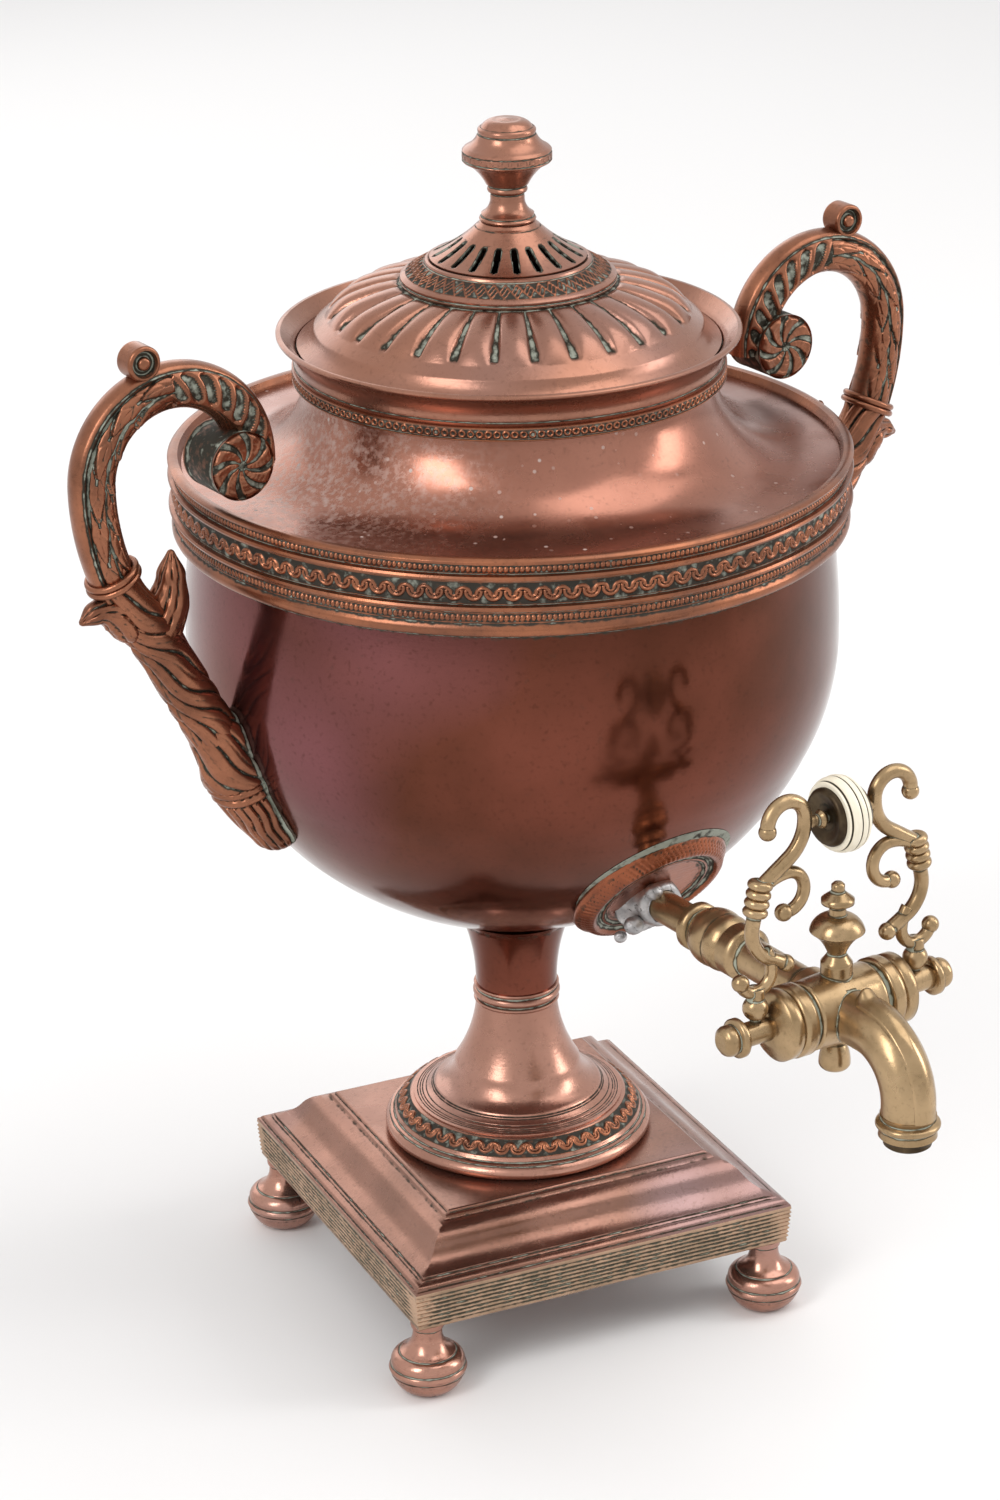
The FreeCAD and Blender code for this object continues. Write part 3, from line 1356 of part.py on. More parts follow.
plug_half = half - S.pin_gap
plug = turned_body("tap_plug", [
    (-S.shaft_half_length, 0),
    (-S.shaft_half_length, S.shaft_radius),
    (-plug_half, S.shaft_radius),
    (-plug_half, S.plug_large_radius),
    (plug_half, S.plug_small_radius),
    (plug_half, S.shaft_radius),
    (S.shaft_half_length, S.shaft_radius),
    (S.shaft_half_length, 0),
], "H_Axis")
port = circle_sketch(plug, "port", "XY_Plane", 0, 0, S.port_radius)
pocket(plug, port, 4 * S.plug_large_radius, midplane=True)
for name, side in (("right", 1), ("left", -1)):
    tenon_hole = circle_sketch(plug, f"tenon_hole_{name}", "XY_Plane", side * S.lever_spread, 0,
                               S.lever_tenon_radius + S.pin_gap)
    pocket(plug, tenon_hole, S.shaft_radius + 1, backwards=True)
place(plug, 0, -S.tap_reach, LEVEL_TAP)
keep("tap_plug", plug)

shaft_end = S.shaft_half_length
knob_start = S.lever_spread + S.lever_ball_radius + 1.3
knob_end = knob_start + S.shaft_knob_length
shaft_knob = turned_body("shaft_knob_right", [
    (knob_start, S.shaft_radius + S.pin_gap),
    (knob_start, S.shaft_knob_ring_radius - 0.8),
    (knob_start + 0.8, S.shaft_knob_ring_radius),
    (knob_start + 2.4, S.shaft_knob_ring_radius),
    (knob_start + 3.2, S.shaft_knob_radius - 0.4),
    (knob_start + 4.2, S.shaft_knob_radius, 0.3),
    (knob_end - 1.2, S.shaft_knob_radius - 0.4),
    (knob_end, S.shaft_knob_radius - 2),
    (knob_end, 0),
    (shaft_end + S.pin_gap, 0),
    (shaft_end + S.pin_gap, S.shaft_radius + S.pin_gap),
], "H_Axis")
place(shaft_knob, 0, -S.tap_reach, LEVEL_TAP)
keep("shaft_knob_right", shaft_knob)
mirrored("shaft_knob_left", shaft_knob)

# Lever arms: cast scrollwork of round bars, drawn with x outwards and z up from the shaft's axis.
# A branch is a little thinner than the bar that it grows from.

hook = S.lever_hook_radius
arm_x = S.lever_spread
hook_x = arm_x - 11.2
hook_z = S.grip_height + 2.0
bar_radius = S.lever_bar_radius
tip_radius = S.lever_tip_radius
ARM_BARS = {
    "hook": ((hook_x + hook, hook_z - 1.2), 90,
             [(1.2,), (hook, 180), (0.6,), (14.0, 57), (9.9,), (8.0, -45), (1.2,)]),
    "curl": ((arm_x - 2.9, 50.0), 150, [(0.5,), (17.0, 30), (S.lever_scroll_radius, 190)]),
    "lower": ((arm_x + 0.33, 43.3), -78, [(5.8,), (11.5, -74), (8.6,)]),
    "foot": ((arm_x - 3.8, 27.6), -125, [(0.4,), (12.0, 35), (S.lever_foot_radius, 165)]),
}
arm_pieces = []
for name, (start, heading, moves) in ARM_BARS.items():
    spine, tip = scroll_path(f"arm_{name}_spine", start, heading, moves)
    branch = name in ("curl", "foot")
    arm_pieces.append(swept_bar(f"arm_{name}", spine, bar_radius - 0.3 if branch else bar_radius))
    tip_x, tip_z = start if name == "hook" else (tip.x, tip.y)
    facing = 270 if name == "hook" else heading + sum(move[1] for move in moves if len(move) > 1)
    arm_pieces.append(ball(f"arm_{name}_tip", tip_radius, tip_x, tip_z, facing))

# The knuckle: four rounded rings turned as one piece, which hides where two bars meet
pitch = S.knuckle_ring_pitch
swell = -1 * (S.knuckle_ring_radius - 2.9)
knuckle_outline = [(0, 0)]
for ring in range(4):
    knuckle_outline.append((2.9, pitch * ring, swell))
knuckle_outline += [(2.9, pitch * 4), (0, pitch * 4)]
knuckle = turned_body("knuckle", knuckle_outline, "V_Axis")
place(knuckle, arm_x - 1.6, 0, 52.4, Rotation(Y_AXIS, 180 - 12))
arm_pieces.append(knuckle)
arm_pieces.append(ball("arm_ball", S.lever_ball_radius, arm_x, S.lever_ball_height))
arm_pieces.append(rod("arm_stub", bar_radius + 0.5, 5.0, arm_x, 0, S.lever_ball_height + 2))
tenon_foot = S.shaft_radius - 2.4
arm_pieces.append(rod("arm_tenon", S.lever_tenon_radius, S.lever_ball_height - tenon_foot,
                      arm_x, 0, tenon_foot))
arm = place(fuse("lever_arm", *arm_pieces), 0, -S.tap_reach, LEVEL_TAP)
keep("lever_arm_right", arm)
mirrored("lever_arm_left", arm)

# Grip: a bone disc between two dished caps on a spindle held by the arms

grip_level = LEVEL_TAP + S.grip_height
bone = turned_body("grip_disc", [
    (-S.grip_half_width, S.grip_spindle_radius + S.pin_gap),
    (-S.grip_half_width, S.grip_radius - 1.2),
    (1.2 - S.grip_half_width, S.grip_radius - 0.3),
    (2.6 - S.grip_half_width, S.grip_radius - 0.3),
    (3.0 - S.grip_half_width, S.grip_radius - 0.8),
    (3.4 - S.grip_half_width, S.grip_radius),
    (S.grip_half_width - 3.4, S.grip_radius),
    (S.grip_half_width - 3.0, S.grip_radius - 0.8),
    (S.grip_half_width - 2.6, S.grip_radius - 0.3),
    (S.grip_half_width - 1.2, S.grip_radius - 0.3),
    (S.grip_half_width, S.grip_radius - 1.2),
    (S.grip_half_width, S.grip_spindle_radius + S.pin_gap),
], "H_Axis")
keep("grip_disc", place(bone, 0, -S.tap_reach, grip_level))

cap_face = S.grip_half_width + S.seat_gap
grip_cap = turned_body("grip_cap_right", [
    (cap_face, S.grip_spindle_radius + S.pin_gap),
    (cap_face, S.grip_cap_radius),
    (cap_face + 0.8, S.grip_cap_radius),
    (cap_face + S.grip_cap_width, S.grip_cap_radius - 0.8),
    (cap_face + S.grip_cap_width, S.grip_cap_radius - 1.8),
    (cap_face + 0.9, S.grip_bead_radius + 1),
    (cap_face + 0.9, S.grip_spindle_radius + S.pin_gap),
], "H_Axis")
place(grip_cap, 0, -S.tap_reach, grip_level)
keep("grip_cap_right", grip_cap)
mirrored("grip_cap_left", grip_cap)

spindle_end = S.grip_spindle_half_length
spindle = turned_body("spindle_blank", [
    (-spindle_end, 0),
    (-spindle_end, S.grip_spindle_radius),
    (-cap_face - 4.6, S.grip_spindle_radius),
    (-cap_face - 3.0, S.grip_bead_radius),
    (-cap_face - 1.4, S.grip_spindle_radius),
    (cap_face + 1.4, S.grip_spindle_radius),
    (cap_face + 3.0, S.grip_bead_radius),
    (cap_face + 4.6, S.grip_spindle_radius),
    (spindle_end, S.grip_spindle_radius),
    (spindle_end, 0),
], "H_Axis")
place(spindle, 0, -S.tap_reach, grip_level)
arm_left = NODES["lever_arm_left"]
keep("grip_spindle", cut("grip_spindle", cut("spindle_right_end", spindle, arm), arm_left))

# Check every object, then write each sub-part

doc.recompute()
failed = []
for item in doc.Objects:
    if "Invalid" in item.State or "Error" in item.State:
        failed.append(f"{item.Label}: {item.State}")
for label, item in NODES.items():
    shape = item.Shape
    if shape.isNull() or not shape.isValid() or not shape.Solids:
        failed.append(f"{label}: no valid solid")
if failed:
    raise SystemExit("failed objects: " + "; ".join(failed))

os.makedirs("parts", exist_ok=True)
for label, item in NODES.items():
    item.Shape.exportStep(os.path.join("parts", f"{label}.step"))
    box = item.Shape.BoundBox
    print(f"{label:22s} solids {len(item.Shape.Solids)} volume {item.Shape.Volume:10.1f}"
          f" x {box.XMin:7.1f} {box.XMax:7.1f} y {box.YMin:7.1f} {box.YMax:7.1f}"
          f" z {box.ZMin:7.1f} {box.ZMax:7.1f}")
print(len(NODES), "nodes")
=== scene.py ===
import math

import bmesh
import bpy
from mathutils import Matrix, Vector, noise


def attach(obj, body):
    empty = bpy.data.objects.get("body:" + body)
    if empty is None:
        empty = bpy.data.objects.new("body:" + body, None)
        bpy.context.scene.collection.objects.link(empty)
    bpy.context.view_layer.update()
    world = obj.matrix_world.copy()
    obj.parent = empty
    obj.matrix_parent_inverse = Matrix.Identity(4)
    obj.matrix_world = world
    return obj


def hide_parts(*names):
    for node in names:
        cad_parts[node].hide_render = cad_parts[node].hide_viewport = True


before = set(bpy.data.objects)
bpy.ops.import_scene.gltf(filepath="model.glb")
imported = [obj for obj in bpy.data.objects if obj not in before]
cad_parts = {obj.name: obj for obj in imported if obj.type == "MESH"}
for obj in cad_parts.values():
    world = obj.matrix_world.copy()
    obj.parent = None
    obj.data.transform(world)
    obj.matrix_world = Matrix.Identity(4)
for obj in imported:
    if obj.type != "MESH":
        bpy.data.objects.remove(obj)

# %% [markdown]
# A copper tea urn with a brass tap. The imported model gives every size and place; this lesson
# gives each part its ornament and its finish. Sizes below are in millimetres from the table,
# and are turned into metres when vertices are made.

MM = 0.001
DOUBLE = 0.002 * MM
TAU = 2 * math.pi
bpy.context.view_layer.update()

# %% [markdown]
# The camera comes first.
# The view was worked out from the plinth's square and the ellipses of the rims: 33.6 degrees to
# the left of the tap's side, 22.7 degrees above level, with a long lens.

# %% Camera
CAMERA_PLACE = Vector((-0.766221, -1.143216, 0.779583))
CAMERA_RIGHT = Vector((0.829845, -0.557870, -0.011757))
CAMERA_UP = Vector((0.223960, 0.313699, 0.922732))
camera_data = bpy.data.cameras.new("photo_camera")
camera_data.sensor_fit = "VERTICAL"
camera_data.sensor_height = 36
camera_data.lens = 101.65
camera_data.clip_start = 0.05
camera = bpy.data.objects.new("photo_camera", camera_data)
axes = Matrix((CAMERA_RIGHT, CAMERA_UP, CAMERA_RIGHT.cross(CAMERA_UP))).transposed()
camera.matrix_world = Matrix.Translation(CAMERA_PLACE) @ axes.to_4x4()
bpy.context.scene.collection.objects.link(camera)
bpy.context.scene.camera = camera
bpy.context.scene.view_settings.view_transform = "Standard"
print("camera", tuple(round(c, 3) for c in camera.location))

# %% [markdown]
# Old copper isn't one colour. Handled places are bright, flat places are brown, and verdigris
# stays in every hollow. Each mesh carries a number per vertex, "patina", which says how deep it
# lies in a hollow: the material turns from bare metal to pale green-grey by that number. Broad
# clouds and fine mottling come from noise on Object coordinates.

# %% Material helpers
# On the handles' leaves the patina number also carries a painted shadow beside each leaf's point.
PATINA_AND_PAINTED_SHADOW = "patina"
nodes_of = {}


class Nodes:
    """A short way to add and join shader nodes; nodes_of finds it again by its name."""

    def __init__(self, name):
        nodes_of[name] = self
        self.material = bpy.data.materials.new(name)
        self.material.use_nodes = True
        self.tree = self.material.node_tree
        self.shader = self.tree.nodes["Principled BSDF"]
        self.place = self.add("ShaderNodeTexCoord").outputs["Object"]

    def add(self, kind, **values):
        node = self.tree.nodes.new(kind)
        for key, value in values.items():
            setattr(node, key, value)
        return node

    def join(self, source, target):
        self.tree.links.new(source, target)

    def noise(self, scale, detail=3.0, rough=0.55, stretch=None):
        node = self.add("ShaderNodeTexNoise")
        node.inputs["Scale"].default_value = scale
        node.inputs["Detail"].default_value = detail
        node.inputs["Roughness"].default_value = rough
        place = self.place
        if stretch:
            mapping = self.add("ShaderNodeMapping")
            mapping.inputs["Scale"].default_value = stretch
            self.join(self.place, mapping.inputs["Vector"])
            place = mapping.outputs["Vector"]
        self.join(place, node.inputs["Vector"])
        return node.outputs["Fac"]

    def math(self, operation, first, second, clamp=False):
        node = self.add("ShaderNodeMath", operation=operation, use_clamp=clamp)
        for socket, value in zip(node.inputs, (first, second)):
            if isinstance(value, (int, float)):
                socket.default_value = value
            else:
                self.join(value, socket)
        return node.outputs[0]

    def fade(self, value, low, high, to_low=0.0, to_high=1.0):
        node = self.add("ShaderNodeMapRange", clamp=True)
        for socket, number in zip(node.inputs[1:5], (low, high, to_low, to_high)):
            socket.default_value = number
        self.join(value, node.inputs[0])
        return node.outputs[0]

    def mix(self, share, first, second):
        node = self.add("ShaderNodeMix", data_type="RGBA")
        self.join(share, node.inputs[0])
        for socket, colour in ((node.inputs[6], first), (node.inputs[7], second)):
            if isinstance(colour, tuple):
                socket.default_value = (*colour, 1)
            else:
                self.join(colour, socket)
        return node.outputs[2]

    def bump(self, height, strength, distance=0.0004):
        node = self.add("ShaderNodeBump")
        node.inputs["Strength"].default_value = strength
        node.inputs["Distance"].default_value = distance
        self.join(height, node.inputs["Height"])
        self.join(node.outputs["Normal"], self.shader.inputs["Normal"])


VERDIGRIS = (0.30, 0.32, 0.26)
DARK_HOLLOW = (0.045, 0.040, 0.030)


def worn_metal(name, bright, brown, rough=0.28, cloud=22.0, green=VERDIGRIS, third=None,
               hollow=DARK_HOLLOW, scratch=0.10):
    """Metal with clouds of two colours, and dark hollows that turn green where they are deep."""
    n = Nodes(name)
    clouds = n.fade(n.noise(cloud, 4.0), 0.35, 0.65)
    colour = n.mix(clouds, bright, brown)
    if third:
        colour = n.mix(n.fade(n.noise(cloud * 0.55, 2.0, 0.5), 0.52, 0.70), colour, third)
    fine = n.noise(620.0, 3.0)
    colour = n.mix(n.fade(fine, 0.56, 0.72, 0.0, 0.35), colour, tuple(c * 0.55 for c in brown))
    patina = n.add("ShaderNodeAttribute", attribute_name=PATINA_AND_PAINTED_SHADOW).outputs["Fac"]
    broken = n.math("ADD", patina, n.fade(n.noise(330.0, 4.0), 0.3, 0.7, -0.22, 0.22))
    dark = n.fade(broken, 0.18, 0.48)
    colour = n.mix(dark, colour, hollow)
    grown = n.fade(n.math("SUBTRACT", broken, n.fade(n.noise(250.0, 3.0), 0.35, 0.62, 0.30, 0.0)),
                   0.52, 0.80)
    colour = n.mix(grown, colour, green)
    n.join(colour, n.shader.inputs["Base Color"])
    n.join(n.fade(grown, 0.0, 1.0, 0.90, 0.12), n.shader.inputs["Metallic"])
    base = n.fade(n.noise(48.0, 4.0), 0.3, 0.7, rough - 0.07, rough + 0.09)
    n.join(n.math("ADD", base, n.math("MULTIPLY", dark, 0.35), True), n.shader.inputs["Roughness"])
    n.bump(n.math("ADD", n.noise(900.0, 3.0), n.noise(160.0, 2.0, stretch=(1, 1, 6))), scratch)
    print("finish", name)
    return n.material


# %% [markdown]
# Most of the urn was turned or spun on a lathe, so most pieces here start as an outline that is
# spun about an axis. An outline is a list of (across, up) corners; a third number bends the next
# side into an arc, as in the CAD source. The spin operator then makes all the faces at once.

# %% Outline and spin helpers
def arc_points(start, end, sag, step):
    """Points after start on the arc to end; sag bulges to the left of the way."""
    (x0, z0), (x1, z1) = start, end
    run, rise = x1 - x0, z1 - z0
    length = math.hypot(run, rise)
    count = max(1, round(length / step))
    if not sag:
        return [(x0 + run * i / count, z0 + rise * i / count) for i in range(1, count + 1)]
    radius = length ** 2 / (8 * abs(sag)) + abs(sag) / 2
    side = 1 if sag > 0 else -1
    lift = side * (abs(sag) - radius)
    cx = (x0 + x1) / 2 - rise / length * lift
    cz = (z0 + z1) / 2 + run / length * lift
    first = math.atan2(z0 - cz, x0 - cx)
    turn = (math.atan2(z1 - cz, x1 - cx) - first + math.pi) % TAU - math.pi
    return [(cx + radius * math.cos(first + turn * i / count),
             cz + radius * math.sin(first + turn * i / count)) for i in range(1, count + 1)]


def outline_points(corners, step=1.2, closed=True):
    points = [tuple(corners[0][:2])]
    following = corners[1:] + corners[:1] if closed else corners[1:]
    for corner, after in zip(corners, following):
        sag = corner[2] if len(corner) > 2 else 0
        points += arc_points(corner[:2], after[:2], sag, step)
    return points[:-1] if closed else points


def spun(points, steps=192, closed=True):
    """An outline of (radius, height) points in mm, spun right round the Z axis.

    One sector is spun and then repeated, which is much faster for long rows of ornament.
    """
    sectors = next(n for n in (28, 24, 20, 18, 16, 12, 10, 9, 8, 7, 6, 5, 4, 3, 2, 1)
                   if steps % n == 0)
    bm = bmesh.new()
    ring = [bm.verts.new((r * MM, 0, z * MM)) for r, z in points]
    edges = [bm.edges.new(pair) for pair in zip(ring, ring[1:] + (ring[:1] if closed else []))]
    bmesh.ops.spin(bm, geom=ring + edges, cent=(0, 0, 0), axis=(0, 0, 1), dvec=(0, 0, 0),
                   angle=TAU / sectors, steps=steps // sectors, use_merge=sectors == 1,
                   use_duplicate=False)
    if sectors > 1:
        bmesh.ops.spin(bm, geom=bm.verts[:] + bm.edges[:] + bm.faces[:], cent=(0, 0, 0),
                       axis=(0, 0, 1), dvec=(0, 0, 0), angle=TAU * (sectors - 1) / sectors,
                       steps=sectors - 1, use_merge=False, use_duplicate=True)
    bmesh.ops.remove_doubles(bm, verts=bm.verts, dist=DOUBLE)
    bmesh.ops.dissolve_degenerate(bm, edges=bm.edges, dist=1e-8)
    bmesh.ops.recalc_face_normals(bm, faces=bm.faces)
    return bm


def patina_layer(bm):
    return bm.verts.layers.float.get(PATINA_AND_PAINTED_SHADOW) or bm.verts.layers.float.new(PATINA_AND_PAINTED_SHADOW)


def gather_dirt(bm, amount=1.0, passes=2):
    """Raise the patina where the surface is hollow, and let it spread a little."""
    layer = patina_layer(bm)
    bm.normal_update()
    hollow = {}
    for v in bm.verts:
        bend = sum(e.calc_face_angle_signed(0) for e in v.link_edges if len(e.link_faces) == 2)
        hollow[v] = min(1.0, max(0.0, -bend - 0.08) * amount)
    for _ in range(passes):
        hollow = {v: max(own, 0.55 * max((hollow[e.other_vert(v)] for e in v.link_edges),
                                         default=0)) for v, own in hollow.items()}
    for v, value in hollow.items():
        v[layer] = max(v[layer], value)


def carve(bm, shape):
    """Move each vertex along its normal by shape(place in mm) -> (rise in mm, patina)."""
    layer = patina_layer(bm)
    bm.normal_update()
    moves = []
    for v in bm.verts:
        found = shape(v.co / MM)
        if found:
            moves.append((v, v.normal * found[0] * MM, found[1]))
    for v, move, patina in moves:
        v.co += move
        v[layer] = max(v[layer], patina)


def piece(name, bm, material, stands_for=(), sharp=32, body="root"):
    """Turn a bmesh into a named piece that rides on its body."""
    mesh = bpy.data.meshes.new(name)
    patina_layer(bm)
    bm.to_mesh(mesh)
    bm.free()
    mesh.shade_smooth()
    mesh.set_sharp_from_angle(angle=math.radians(sharp))
    mesh.materials.append(material)
    obj = bpy.data.objects.new(name, mesh)
    bpy.context.scene.collection.objects.link(obj)
    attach(obj, body)
    if stands_for:
        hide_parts(*stands_for)
    print(f"{name}: {len(mesh.polygons)} faces")
    return obj


def turned(name, corners, step, steps, material, node, dirt, passes=0, sharp=40,
           body="root", shape=None):
    """A piece that is one closed outline, spun, with dirt in its hollows."""
    bm = spun(outline_points(corners, step), steps)
    gather_dirt(bm, dirt, passes)
    if shape:
        carve(bm, shape)
    return piece(name, bm, material, (node,), sharp, body)


LONGEST = 1.8 * MM


def cad_copy(node, material, name, dirt=0.7, sharp=28, body="root"):
    """The node's own shape, with its loose triangles joined so that it can be shaded smooth."""
    bm = bmesh.new()
    bm.from_mesh(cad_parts[node].data)
    bmesh.ops.remove_doubles(bm, verts=bm.verts, dist=DOUBLE)
    bmesh.ops.dissolve_degenerate(bm, edges=bm.edges, dist=1e-7)
    if dirt:
        for _ in range(5):
            long_edges = [e for e in bm.edges if e.calc_length() > LONGEST]
            if not long_edges:
                break
            bmesh.ops.subdivide_edges(bm, edges=long_edges, cuts=1)
            bmesh.ops.triangulate(bm, faces=[f for f in bm.faces if len(f.verts) > 4])
        gather_dirt(bm, dirt, 0)
    return piece(name, bm, material, (node,), sharp, body)


def clamped(value):
    return max(0.0, min(1.0, value))


def smooth_step(value):
    value = clamped(value)
    return value * value * (3 - 2 * value)


def from_axis(place):
    return math.hypot(place.x, place.y)


def turns(place, repeats):
    """How many of the repeats round the Z axis lie before the place."""
    return math.atan2(place.y, place.x) / TAU * repeats


def zigzag(value):
    """1 at each whole number, 0 half way between two of them."""
    return abs(value % 1.0 - 0.5) * 2


def raised(level, corners):
    """Outline corners whose heights are counted from a level."""
    return [(across, level + up, *sag) for across, up, *sag in corners]


# %% [markdown]
# The finishes. The bowl's copper is set darkest, with purple and brown clouds, and its darkness is a
# painted reflection of a dark room; the foot copper is set pale, a painted reflection of white
# surroundings, and the shoulder and lid are set paler than the bowl; cast parts are browner. The tap
# is brass.

# %% Finishes
# Painted reflection: the bowl's base colours are kept dark to stand for the dark room that the bowl
# reflects, under its purple and brown clouds.
bowl_copper_painted_dark_reflection = worn_metal("bowl_copper_painted_dark_reflection", (0.165, 0.048, 0.029), (0.085, 0.026, 0.013), 0.13, 12.0,
                         third=(0.20, 0.072, 0.078), scratch=0.03)
shoulder_copper = worn_metal("shoulder_copper", (0.36, 0.160, 0.112), (0.28, 0.120, 0.082), 0.24,
                             15.0, third=(0.30, 0.155, 0.130), scratch=0.04)
lid_copper = worn_metal("lid_copper", (0.37, 0.172, 0.115), (0.27, 0.125, 0.082), 0.26, 24.0,
                        third=(0.30, 0.160, 0.125))
band_copper = worn_metal("band_copper", (0.33, 0.125, 0.064), (0.19, 0.078, 0.046), 0.28, 40.0,
                         hollow=(0.050, 0.044, 0.036), green=(0.27, 0.29, 0.24))
# Painted reflection: this copper is set pale to stand for the white surroundings that it reflects.
foot_copper_painted_pale_reflection = worn_metal("foot_copper_painted_pale_reflection", (0.48, 0.250, 0.185), (0.33, 0.168, 0.122), 0.25, 22.0,
                         third=(0.44, 0.29, 0.26), hollow=(0.07, 0.05, 0.038))
plinth_copper = worn_metal("plinth_copper", (0.33, 0.170, 0.125), (0.22, 0.115, 0.083), 0.24, 18.0,
                           third=(0.31, 0.205, 0.205), hollow=(0.06, 0.042, 0.03))
reed_copper = worn_metal("reed_copper", (0.52, 0.345, 0.235), (0.35, 0.235, 0.155), 0.30, 60.0,
                         hollow=(0.085, 0.08, 0.06), green=(0.30, 0.32, 0.25))
cast_copper = worn_metal("cast_copper", (0.33, 0.132, 0.072), (0.185, 0.074, 0.042), 0.27, 60.0,
                         scratch=0.12)
rim_copper = worn_metal("rim_copper", (0.34, 0.105, 0.048), (0.19, 0.062, 0.034), 0.24, 50.0,
                        scratch=0.18)
cast_brass = worn_metal("cast_brass", (0.44, 0.305, 0.170), (0.29, 0.194, 0.100), 0.27, 55.0,
                        hollow=(0.10, 0.072, 0.040), green=(0.34, 0.36, 0.28), scratch=0.06)
black_brass = worn_metal("black_brass", (0.10, 0.070, 0.038), (0.040, 0.026, 0.015), 0.42, 120.0)
tinned = worn_metal("tinned", (0.62, 0.58, 0.52), (0.45, 0.41, 0.36), 0.36, 40.0)
black_iron = worn_metal("black_iron", (0.13, 0.115, 0.10), (0.07, 0.06, 0.05), 0.55, 90.0)
soft_solder = worn_metal("soft_solder", (0.52, 0.50, 0.49), (0.33, 0.32, 0.32), 0.46, 260.0,
                         green=(0.50, 0.51, 0.48), hollow=(0.05, 0.05, 0.05), scratch=0.25)


# %% Turned bone
def bone_finish():
    """Pale bone with fine grain; the grooves hold dirt."""
    n = Nodes("turned_bone")
    grain = n.noise(300.0, 4.0, stretch=(4, 1, 1))
    colour = n.mix(grain, (0.78, 0.70, 0.53), (0.88, 0.82, 0.68))
    patina = n.add("ShaderNodeAttribute", attribute_name=PATINA_AND_PAINTED_SHADOW).outputs["Fac"]
    colour = n.mix(n.fade(patina, 0.25, 0.6), colour, (0.035, 0.025, 0.012))
    n.join(colour, n.shader.inputs["Base Color"])
    n.shader.inputs["Roughness"].default_value = 0.30
    n.bump(grain, 0.08)
    return n.material


turned_bone = bone_finish()
print("finish turned_bone")

# %% [markdown]
# Dust lies on the left of the shoulder, thick in one place and as single specks elsewhere. It is
# added to the shoulder's finish as a dull pale layer, thinned by distance from one point.

# %% Dust on the shoulder
DUST_PLACE = (-0.085, -0.008, 0.318)


def add_dust(name):
    n = nodes_of[name]
    away = n.add("ShaderNodeVectorMath", operation="DISTANCE")
    away.inputs[1].default_value = DUST_PLACE
    n.join(n.place, away.inputs[0])
    near = n.fade(away.outputs["Value"], 0.012, 0.075, 1.0, 0.0)
    specks = n.add("ShaderNodeTexVoronoi")
    specks.inputs["Scale"].default_value = 330.0
    n.join(n.place, specks.inputs["Vector"])
    chance = n.fade(specks.outputs["Color"], 0.70, 0.92)
    spots = n.math("MULTIPLY", n.fade(specks.outputs["Distance"], 0.16, 0.26, 1.0, 0.0), chance)
    film = n.math("MULTIPLY", near, n.fade(n.noise(420.0, 5.0, 0.7), 0.46, 0.66))
    far = n.fade(away.outputs["Value"], 0.05, 0.19, 0.9, 0.12)
    dust = n.math("MAXIMUM", n.math("MULTIPLY", spots, far), n.math("MULTIPLY", film, 0.38), True)
    for socket, value in (("Base Color", (0.62, 0.56, 0.52)), ("Metallic", 0.0), ("Roughness", 0.8)):
        target = n.shader.inputs[socket]
        source = target.links[0].from_socket
        if socket == "Base Color":
            n.join(n.mix(dust, source, value), target)
            continue
        node = n.add("ShaderNodeMix", data_type="FLOAT")
        node.inputs[3].default_value = value
        n.join(dust, node.inputs[0])
        n.join(source, node.inputs[2])
        n.join(node.outputs[0], target)
    print("dust on", name)


add_dust("shoulder_copper")

# %% [markdown]
# Levels and outlines repeat the CAD sizes, because the turned pieces here stand exactly where
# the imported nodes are.

# %% Levels
FASCIA, SLOPE, PLATFORM, TRUMPET, WAIST, STEM = 26.6, 41.2, 58.4, 71.6, 108.9, 115.7
BOWL, BAND, TRAY, RIM, NECK, MOUTH, LIP = 142.6, 291.9, 315.9, 318.9, 343.6, 348.4, 360.6
LID, CROWN, CONE, KNOB = 354.35, 376.45, 384.35, 397.55
TAP_LEVEL = BOWL + 37.4 * 0.955
TAP_REACH = 184.0
print("tap level", TAP_LEVEL)

# %% [markdown]
# The four turned feet: a ball with two scratched lines, a waist and a small collar. One outline
# is spun and moved to the four corners of the plinth, which is turned 9 degrees.

# %% Feet
PLINTH_TURN = math.radians(-9)
FOOT_SPREAD = 66.6
foot_outline = outline_points([
    (0, 0), (7.2, 0, -0.9), (12.6, 6.0), (13.1, 6.7), (13.1, 7.3), (13.5, 7.9, -0.3), (13.5, 9.7),
    (13.0, 10.3), (13.1, 11.0, -0.7), (10.6, 14.6), (10.0, 14.7), (9.7, 15.3, 1.3), (5.2, 22.9),
    (5.0, 24.2), (5.8, 24.7, -0.2), (5.8, 26.6), (2.5, 26.6), (2.5, 35.6), (0, 35.6)], 0.8)
for corner, (side, front) in {"front_left": (-1, -1), "front_right": (1, -1),
                              "rear_left": (-1, 1), "rear_right": (1, 1)}.items():
    bm = spun(foot_outline, 72)
    gather_dirt(bm, 0.8, 0)
    place = Matrix.Rotation(PLINTH_TURN, 4, "Z") @ Matrix.Translation(
        Vector((side, front, 0)) * FOOT_SPREAD * MM)
    bmesh.ops.transform(bm, matrix=place, verts=bm.verts)
    piece(f"turned_foot_{corner}", bm, foot_copper_painted_pale_reflection, (f"foot_{corner}",))

# %% [markdown]
# The plinth is sheet: a reeded fascia under a slope with an ogee between fillets. Both run round
# a square with mitred corners, so each outline is spun in four steps about the middle; the
# distance from the middle is that of the sides. Cuts across the sides give the noise something
# to move, because such thin sheet is never quite straight.

# %% Plinth
CUTS_PER_SIDE = 13
CUT_PITCH = 5.0
UNEVEN = 0.10


